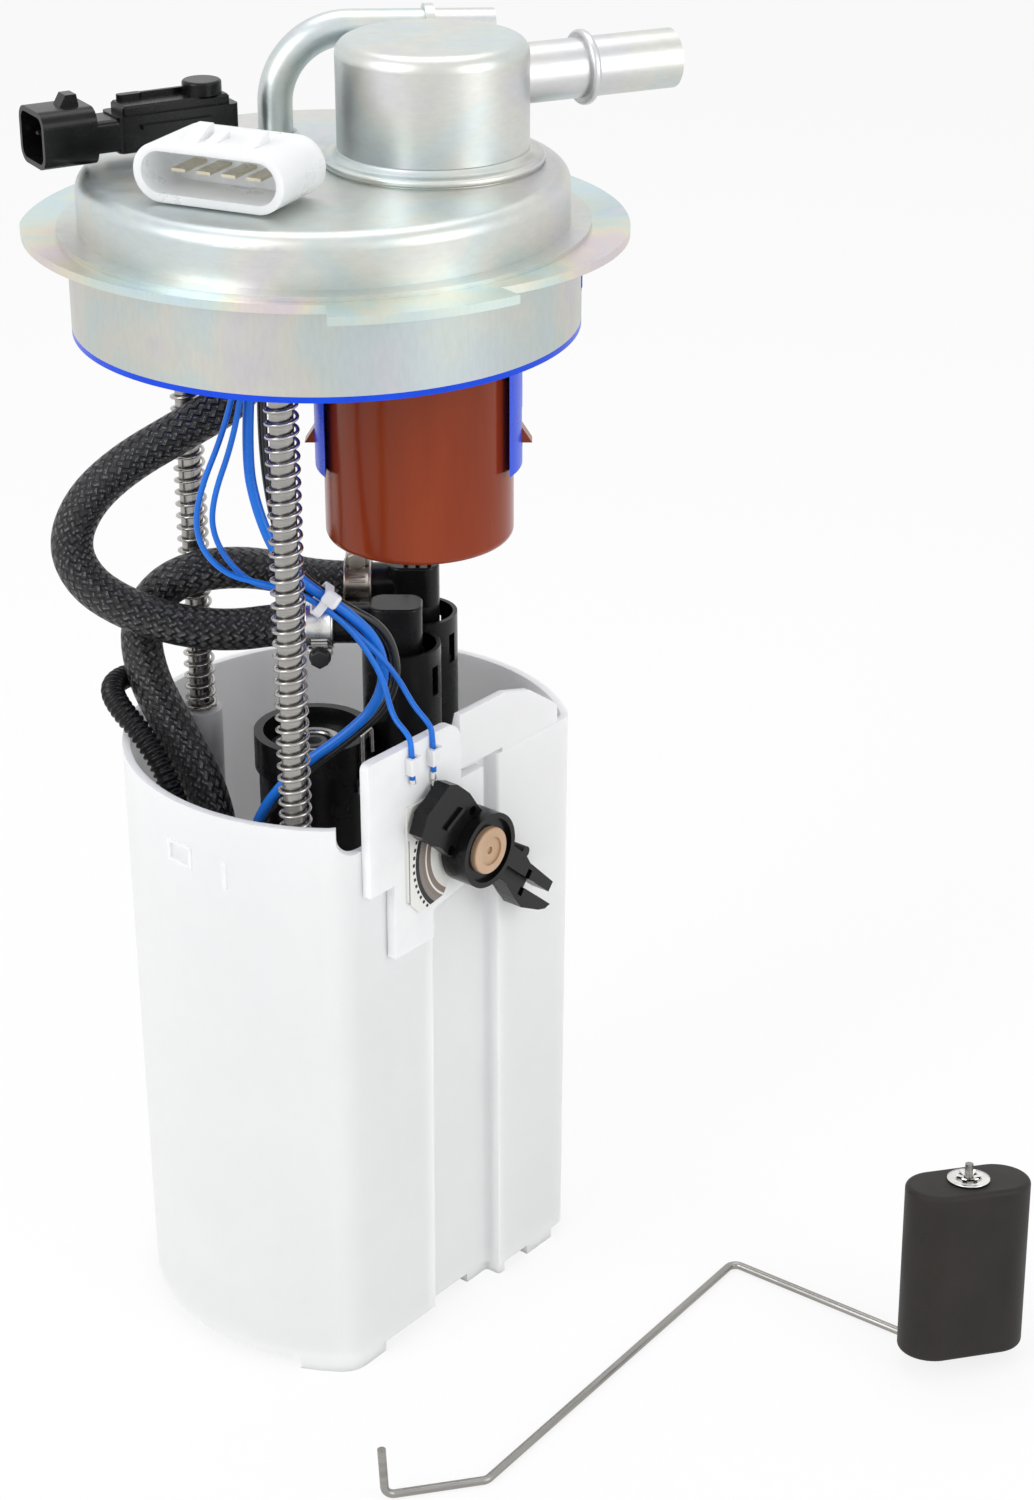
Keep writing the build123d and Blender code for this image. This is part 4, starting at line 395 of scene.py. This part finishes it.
def tube(name, points, radius, sides, step):
    """A tube along a line. radius is a number or a function of the length so far. UV: turn, metres."""
    line, at = even(np.array(points, float), step)
    ahead = np.gradient(line, axis=0)
    ahead /= np.linalg.norm(ahead, axis=1)[:, None]
    side = np.cross(ahead[0], [0, 0, 1] if abs(ahead[0][2]) < 0.9 else [1, 0, 0])
    side /= np.linalg.norm(side)
    vertices, faces = [], []
    turn = np.arange(sides) * 2 * math.pi / sides
    for place, forward, s in zip(line, ahead, at):
        side = side - forward * (side @ forward)
        side /= np.linalg.norm(side)
        up = np.cross(forward, side)
        r = radius(s) if callable(radius) else radius
        for angle in turn:
            vertices.append(place + r * (side * math.cos(angle) + up * math.sin(angle)))
    rows = len(line)
    for row in range(rows - 1):
        for k in range(sides):
            a, b = row * sides + k, row * sides + (k + 1) % sides
            faces.append((a, b, b + sides, a + sides))
    faces.append(tuple(range(sides - 1, -1, -1)))
    faces.append(tuple((rows - 1) * sides + k for k in range(sides)))
    piece = mesh_piece(name, vertices, faces)
    layer = piece.data.uv_layers.new(name="UVMap")
    for polygon in piece.data.polygons:
        if len(polygon.vertices) != 4:
            continue
        for loop, vertex in zip(polygon.loop_indices, polygon.vertices):
            row, k = divmod(vertex, sides)
            wraps = k == 0 and max(v % sides for v in polygon.vertices) == sides - 1
            layer.data[loop].uv = (1.0 if wraps else k / sides, at[row])
    return piece


mm = 0.001


def metres(points):
    """A route given in millimetres."""
    return [tuple(c * mm for c in p) for p in points]


feed_hose_route = metres([
    (-14.6, 30.6, 319), (-14.6, 30.6, 301), (-19.5, 29, 282.5), (-29, 25, 269.5), (-43.5, 21.5, 262),
    (-60, 20, 252.5), (-71.5, 18.5, 242), (-76.5, 16, 230), (-72, 12.5, 220), (-61, 9, 213.5),
    (-45.5, 7.5, 208.5), (-30.5, 9.6, 206), (-16, 15.1, 206), (-1.5, 15.1, 206),
])
return_hose_route = metres([
    (8.4, 38.6, 209.2), (-7, 38.6, 209.2), (-20.5, 33.5, 215), (-31, 25, 219.5), (-43.5, 20.8, 219.5),
    (-53.5, 21.5, 212.5), (-58.5, 20.5, 201.5), (-55.5, 12, 190), (-47.5, 3, 178.5), (-38, -4.5, 163),
    (-34.5, -7, 143), (-35.5, -5, 115), (-35, -3, 75), (-35, -3, 38),
])
drain_tube_route = metres([
    (-42, 10, 38), (-42, 10, 68), (-46.5, -2, 98), (-46, -12, 130), (-44.5, -16, 158), (-48.5, -13, 172),
    (-55, -6.5, 180.5), (-62.5, 0.5, 186), (-66, 8.5, 188.5), (-64, 17.5, 188), (-58.5, 24, 186.5),
    (-51, 24, 180.5), (-49, 22, 168), (-48.5, 18, 150), (-48.5, 15, 133),
])

hose_radius, hose_sides, hose_step = 0.006, 40, 0.0008
feed_hose = tube("feed_hose_sleeve", spline_points(feed_hose_route), hose_radius, hose_sides, hose_step)
dress(feed_hose, "braid")
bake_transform(feed_hose)
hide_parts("feed_hose")

return_hose = tube("return_hose_sleeve", spline_points(return_hose_route), hose_radius, hose_sides, hose_step)
dress(return_hose, "braid", "reservoir_unit")
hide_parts("return_hose")


def ridges(s):
    """Radius of the corrugated tube: a middle radius, the height of a ring and the pitch of the rings."""
    return 0.0031 + 0.0004 * math.cos(2 * math.pi * s / 0.0021)


drain_tube = tube("drain_tube_bellows", spline_points(drain_tube_route), ridges, 28, 0.0003)
dress(drain_tube, "black_plastic", "reservoir_unit")
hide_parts("drain_tube")


def coil(x, y, low, high, radius, wire, pitch):
    """A compression spring's centre line, with a closed coil at each end."""
    end_rise = wire * 1.1
    total = (high - low - 2 * end_rise) / pitch + 2
    points = []
    count = int(total * 28)
    for k in range(count + 1):
        turn = total * k / count
        if turn < 1:
            z = low + end_rise * turn
        elif turn > total - 1:
            z = high - end_rise * (total - turn)
        else:
            z = low + end_rise + pitch * (turn - 1)
        angle = 2 * math.pi * turn
        points.append((x + radius * math.cos(angle), y + radius * math.sin(angle), z))
    return points


spring_low, spring_high, spring_radius, spring_wire, spring_pitch = 0.17155, 0.30065, 0.00415, 0.001, 0.0036
for end, (x, y) in (("front", (-0.0093, -0.050)), ("rear", (-0.043, 0.0335))):
    line = coil(x, y, spring_low, spring_high, spring_radius, spring_wire, spring_pitch)
    spring = tube(f"guide_spring_{end}_coil", line, spring_wire / 2, 10, 0.0009)
    dress(spring, "spring_steel")
    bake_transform(spring)
    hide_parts(f"guide_spring_{end}")

wires = {
    "power_wire": (0.0015, "blue_wire", [
        (-18.4, -28, 325), (-18.4, -28, 303), (-20.6, -28.5, 272), (-18.6, -29.5, 259), (-13.6, -31, 245.5),
        (-6.4, -32.3, 238.2), (4.8, -31.7, 229.8), (12.5, -27.5, 220), (14.8, -24.5, 208), (11.5, -24, 197.5),
        (2.5, -25, 189), (-9, -27, 181.5), (-19, -26.5, 170), (-24.5, -21.5, 156), (-21, -14, 141),
        (-19.43, -12.15, 131), (-19.43, -12.15, 120),
    ]),
    "ground_wire": (0.0013, "black_wire", [
        (-15.8, -26.2, 325), (-15.8, -26.2, 303), (-16.6, -25.6, 275), (-14.6, -26.6, 256),
        (-11.3, -27.9, 245), (-6.8, -28.9, 237.9), (4.5, -28.3, 229.5), (15.2, -23.4, 221.2),
        (18.2, -20.6, 207), (14.5, -19.8, 195.5), (4, -21.5, 186.5), (-8, -23.5, 178),
        (-18.5, -22.2, 166), (-25.3, -16.1, 153.4), (-23.6, -11, 141),
        (-21.88, -10.09, 131), (-21.88, -10.09, 120),
    ]),
    "signal_wire_a": (0.0008, "blue_wire", [
        (-20.6, -29.6, 325), (-20.6, -29.6, 303), (-25.4, -29.2, 282), (-34, -31, 262),
        (-34.5, -32.5, 250), (-27.5, -34, 241.5), (-17, -34.8, 239), (-7.6, -34.4, 236.6),
        (3.6, -33.6, 228.2), (10, -33.6, 219.5), (14.5, -34.5, 211),
        (17.16, -42.21, 203.3), (20.74, -45.1, 200.3), (22.49, -46.52, 197.7), (22.49, -46.52, 186.6),
    ]),
    "signal_wire_b": (0.0008, "blue_wire", [
        (-19.2, -30.7, 325), (-19.2, -30.7, 303), (-23, -31.2, 280), (-30.5, -31.8, 260), (-29.5, -31.6, 249),
        (-22.5, -31.6, 239), (-15, -32, 236.6), (-8, -32.8, 236), (3.2, -32, 227.6),
        (12, -30.6, 218), (18, -30, 210), (22.7, -35.37, 203.3), (26.28, -38.26, 200.3),
        (28.02, -39.68, 197.7), (28.02, -39.68, 185.8),
    ]),
}
for node, (radius, look, route) in wires.items():
    route = metres(route)
    wire = tube(f"{node}_cord", spline_points(route), radius, 16, 0.0012)
    dress(wire, look)
    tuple(route[1])
    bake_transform(wire)
    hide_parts(node)


def lathe(name, profile, sides=64):
    """A closed profile of (radius, height) turned about Z."""
    vertices, faces = [], []
    count = len(profile)
    for k in range(sides):
        angle = 2 * math.pi * k / sides
        for radius, height in profile:
            vertices.append((radius * math.cos(angle), radius * math.sin(angle), height))
    for k in range(sides):
        for j in range(count):
            a, b = k * count + j, k * count + (j + 1) % count
            c, d = (k + 1) % sides * count + (j + 1) % count, (k + 1) % sides * count + j
            faces.append((a, d, c, b))
    return mesh_piece(name, vertices, faces)


def rounded(name, mesh, radius, segments):
    """An object from a bmesh whose edges are rounded first."""
    bmesh.ops.bevel(mesh, geom=mesh.edges[:], offset=radius, segments=segments, profile=0.5, affect="EDGES")
    return from_bmesh(name, mesh)


def from_bmesh(name, mesh):
    """An object from a bmesh, which is freed."""
    data = bpy.data.meshes.new(name)
    mesh.to_mesh(data)
    mesh.free()
    piece = bpy.data.objects.new(name, data)
    bpy.context.collection.objects.link(piece)
    return piece


def block(name, size, radius, segments=3):
    """A box with rounded edges, middle at the origin."""
    mesh = bmesh.new()
    bmesh.ops.create_cube(mesh, size=1.0, matrix=Matrix.Diagonal((*size, 1)))
    return rounded(name, mesh, radius, segments)


def prism(name, radius, length, sides, bevel):
    """An upright prism with softened edges, middle at the origin."""
    mesh = bmesh.new()
    bmesh.ops.create_cone(mesh, cap_ends=True, segments=sides, radius1=radius, radius2=radius, depth=length)
    return rounded(name, mesh, bevel, 2)


def put(piece, origin, x, z):
    """Moves a piece's mesh so that its own X and Z point along x and z."""
    x, z = Vector(x).normalized(), Vector(z).normalized()
    y = z.cross(x).normalized()
    turn = Matrix((x, y, z)).transposed().to_4x4()
    piece.data.transform(Matrix.Translation(origin) @ turn)
    return piece


def joined(name, pieces):
    """One mesh from several."""
    mesh = bmesh.new()
    for piece in pieces:
        mesh.from_mesh(piece.data)
        bpy.data.objects.remove(piece)
    return from_bmesh(name, mesh)


def hose_clamp(node, place, side, band_look, screw_look):
    """Worm drive clamp about a level hose: beaded band, hex screw in a housing above (1) or below (-1)."""
    middle = Vector(place)
    inner, outer, half, lip, bead = 0.00605, 0.00685, 0.004, 0.0002, 0.0009
    saddle_reach, screw_reach = 0.0076, 0.0088
    band = lathe("band", [
        (inner, -half), (outer, -half), (outer + lip, -half + 0.0004), (outer, -half + bead),
        (outer, half - bead), (outer + lip, half - 0.0004), (outer, half), (inner, half),
    ])
    put(band, middle, (0, 1, 0), (1, 0, 0))
    up = Vector((0, 0, side))
    ribs = []
    for k in range(9):
        turn = math.radians(side * (22 + 12 * k))
        out = Vector((0, -math.cos(turn), math.sin(turn)))
        rib = block("rib", (0.0045, 0.0006, 0.0005), 0.0001, 1)
        ribs.append(put(rib, middle + out * (outer + 0.0001), (1, 0, 0), out))
    saddle = block("saddle", (0.0072, 0.0076, 0.0022), 0.0006)
    put(saddle, middle + up * saddle_reach, (1, 0, 0), up)
    screw_place, screw_way = middle + up * screw_reach, (0, -1, 0)
    barrel = prism("barrel", 0.0026, 0.0068, 28, 0.0004)
    put(barrel, screw_place, (1, 0, 0), screw_way)
    shell = joined(f"{node}_band", [band, saddle, barrel, *ribs])
    dress(shell, band_look, "reservoir_unit", "bare_steel")
    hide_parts(node)
    shank = prism("shank", 0.0018, 0.0110, 20, 0.0002)
    put(shank, screw_place, (1, 0, 0), screw_way)
    head = prism("head", 0.0029, 0.0024, 6, 0.0003)
    put(head, screw_place + Vector((0, -0.0052, 0)), (1, 0, 0), screw_way)
    collar = prism("collar", 0.0032, 0.0007, 28, 0.0002)
    put(collar, screw_place + Vector((0, -0.0039, 0)), (1, 0, 0), screw_way)
    dress(joined(f"{node}_screw", [shank, head, collar]), screw_look, "reservoir_unit", "arm_steel")


hose_clamp("feed_hose_clamp", (-0.0057, 0.0151, 0.2060), -1, "tin", "dark_screw")
hose_clamp("return_hose_clamp", (0.0042, 0.0386, 0.2092), 1, "tarnished", "tarnished")

# Rolled foot of the vapour cap
foot = lathe("vapour_cap_foot", [
    (0.0254, 0.0002), (0.0293, 0.0002), (0.02965, 0.0006), (0.02965, 0.0015), (0.0292, 0.0020),
    (0.0276, 0.0021), (0.0264, 0.0026), (0.02575, 0.0036), (0.0254, 0.0042),
], 128)
put(foot, Vector((0.0287, 0.0064, 0.343)), (1, 0, 0), (0, 0, 1))
dress(foot, "zinc_plate", "flange")


def on_wall(out, along, height):
    """A place from distances to the slanting wall, along it and up, in millimetres."""
    return (wall_out * out + wall_along * along) / 1000 + Vector((0, 0, height / 1000))


# Crimped wire ends on the level sensor's bracket, and the lead from one of them to the card
crimps = []
for along, height, radius, length in (
    (-22.0, 186.0, 0.95, 1.2), (-13.2, 184.7, 1.05, 2.2), (-13.2, 182.4, 0.8, 1.7),
):
    barrel = prism("barrel", radius / 1000, length / 1000, 18, 0.00015)
    crimps.append(put(barrel, on_wall(46.75, along, height), wall_along, (0, 0, 1)))
pad = block("pad", (0.0024, 0.0030, 0.0006), 0.0002)
crimps.append(put(pad, on_wall(46.25, -13.2, 181.0), wall_along, wall_out))
crimp_ends = joined("signal_wire_crimps", crimps)
dress(crimp_ends, "tin", "reservoir_unit", "bare_steel")
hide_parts("sensor_terminals")
lead = [on_wall(46.9, -13.2, 181.4), on_wall(47.3, -12.2, 179.2), on_wall(47.2, -9.6, 175.8)]
dress(tube("sensor_lead", lead, 0.00035, 10, 0.0006), "dark_screw", "reservoir_unit", "arm_steel")

# Head of the cable tie, on the side of the bundle that faces the viewer
tie_run = Vector((0.8, 0.05, -0.6))
tie_face = Vector((-0.15, -0.92, 0.35))
head = block("tie_head", (0.0046, 0.0042, 0.0028), 0.0009)
tie_level = tie_run - tie_face * tie_run.dot(tie_face) / tie_face.length_squared
put(head, Vector((0.0012, -0.0366, 0.2353)), tie_level, tie_face)
dress(head, "white_plastic", "reservoir_unit")

# Push nut: a domed washer with six tongues round the wire
nut = []
for k in range(6):
    tongue = block("tongue", (0.0026, 0.0015, 0.0004), 0.0001, 1)
    turn = math.radians(60 * k)
    way = Vector((math.cos(turn), math.sin(turn), 0.42)).normalized()
    side = Vector((-math.sin(turn), math.cos(turn), 0))
    place = Vector((0.0026 * math.cos(turn), 0.0026 * math.sin(turn), 0.0011))
    nut.append(put(tongue, place, -way, (-way).cross(side)))
nut.append(lathe("rim", [
    (0.0034, 0.0002), (0.0044, 0.0), (0.0056, -0.0001), (0.0062, 0.0002), (0.0062, 0.0006), (0.0056, 0.0004),
    (0.0044, 0.0005), (0.0034, 0.0009),
]))
push_nut = joined("push_nut_star", nut)
float_foot, float_height = Vector((0.1809, -0.0553, 0.0012)), 0.0570
lean = Vector((0.01, 0.15, 1.0)).normalized()
put(push_nut, float_foot + lean * float_height, (1, 0, 0), lean)
dress(push_nut, "tin", "float_arm", "bare_steel")
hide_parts("push_nut")

# Studio: the photo's camera, a pale floor, a white world and three soft lamps
camera = bpy.data.objects.new("camera", bpy.data.cameras.new("camera"))
bpy.context.collection.objects.link(camera)
camera.location = (0.050752, -0.774697, 0.547483)
camera.rotation_euler = (math.radians(64.2), 0, 0)
camera.data.lens = 72
camera.data.sensor_width = 36
bpy.context.scene.camera = camera
bpy.context.scene.view_settings.view_transform = "Standard"


def seen_directly(tree):
    """One for rays from the camera, from a mirror or through a clear piece, else zero."""
    path = tree.nodes.new("ShaderNodeLightPath")
    total = path.outputs["Is Camera Ray"]
    for kind in ("Is Glossy Ray", "Is Transmission Ray"):
        most = tree.nodes.new("ShaderNodeMath")
        most.operation = "MAXIMUM"
        tree.links.new(total, most.inputs[0])
        tree.links.new(path.outputs[kind], most.inputs[1])
        total = most.outputs[0]
    return total


def show(tree, kind, factor, first, second):
    """Sends a mix of two shaders to an output node of the kind named."""
    out = tree.nodes.new(kind)
    mix = tree.nodes.new("ShaderNodeMixShader")
    tree.links.new(factor, mix.inputs[0])
    tree.links.new(first.outputs[0], mix.inputs[1])
    tree.links.new(second.outputs[0], mix.inputs[2])
    tree.links.new(mix.outputs[0], out.inputs["Surface"])


floor = mesh_piece("floor", [(-6, -6, 0), (6, -6, 0), (6, 6, 0), (-6, 6, 0)], [(0, 1, 2, 3)])
floor.location.z = -0.0001
ground = bpy.data.materials.new("ground")
ground.use_nodes = True
tree = ground.node_tree
tree.nodes.clear()
matt = tree.nodes.new("ShaderNodeBsdfDiffuse")
matt.inputs["Color"].default_value = (0.86, 0.86, 0.86, 1)
glow = tree.nodes.new("ShaderNodeEmission")
share = tree.nodes.new("ShaderNodeMath")
share.operation = "MULTIPLY"
share.inputs[1].default_value = 0.82
tree.links.new(seen_directly(tree), share.inputs[0])
show(tree, "ShaderNodeOutputMaterial", share.outputs[0], matt, glow)
floor.data.materials.append(ground)

world = bpy.data.worlds.new("studio")
bpy.context.scene.world = world
world.use_nodes = True
tree = world.node_tree
tree.nodes.clear()
light = tree.nodes.new("ShaderNodeBackground")
light.inputs["Color"].default_value = (1, 1, 1, 1)
light.inputs["Strength"].default_value = 0.74
seen = tree.nodes.new("ShaderNodeBackground")
seen.inputs["Color"].default_value = (1, 1, 1, 1)
show(tree, "ShaderNodeOutputWorld", seen_directly(tree), light, seen)


def lamp(name, place, aim, size, watts):
    """A soft rectangular lamp that points at a place."""
    data = bpy.data.lights.new(name, "AREA")
    data.shape = "RECTANGLE"
    data.size, data.size_y = size
    data.energy = watts
    holder = bpy.data.objects.new(name, data)
    bpy.context.collection.objects.link(holder)
    holder.location = place
    holder.rotation_euler = (Vector(aim) - Vector(place)).to_track_quat("-Z", "Y").to_euler()


middle = (0.02, 0, 0.2)
lamp("key", (-0.9, -0.8, 0.9), middle, (0.7, 0.9), 8)
lamp("fill", (1.0, -0.7, 0.6), middle, (0.7, 0.9), 4.5)
lamp("top", (0.0, 0.3, 1.4), middle, (0.9, 0.6), 4)
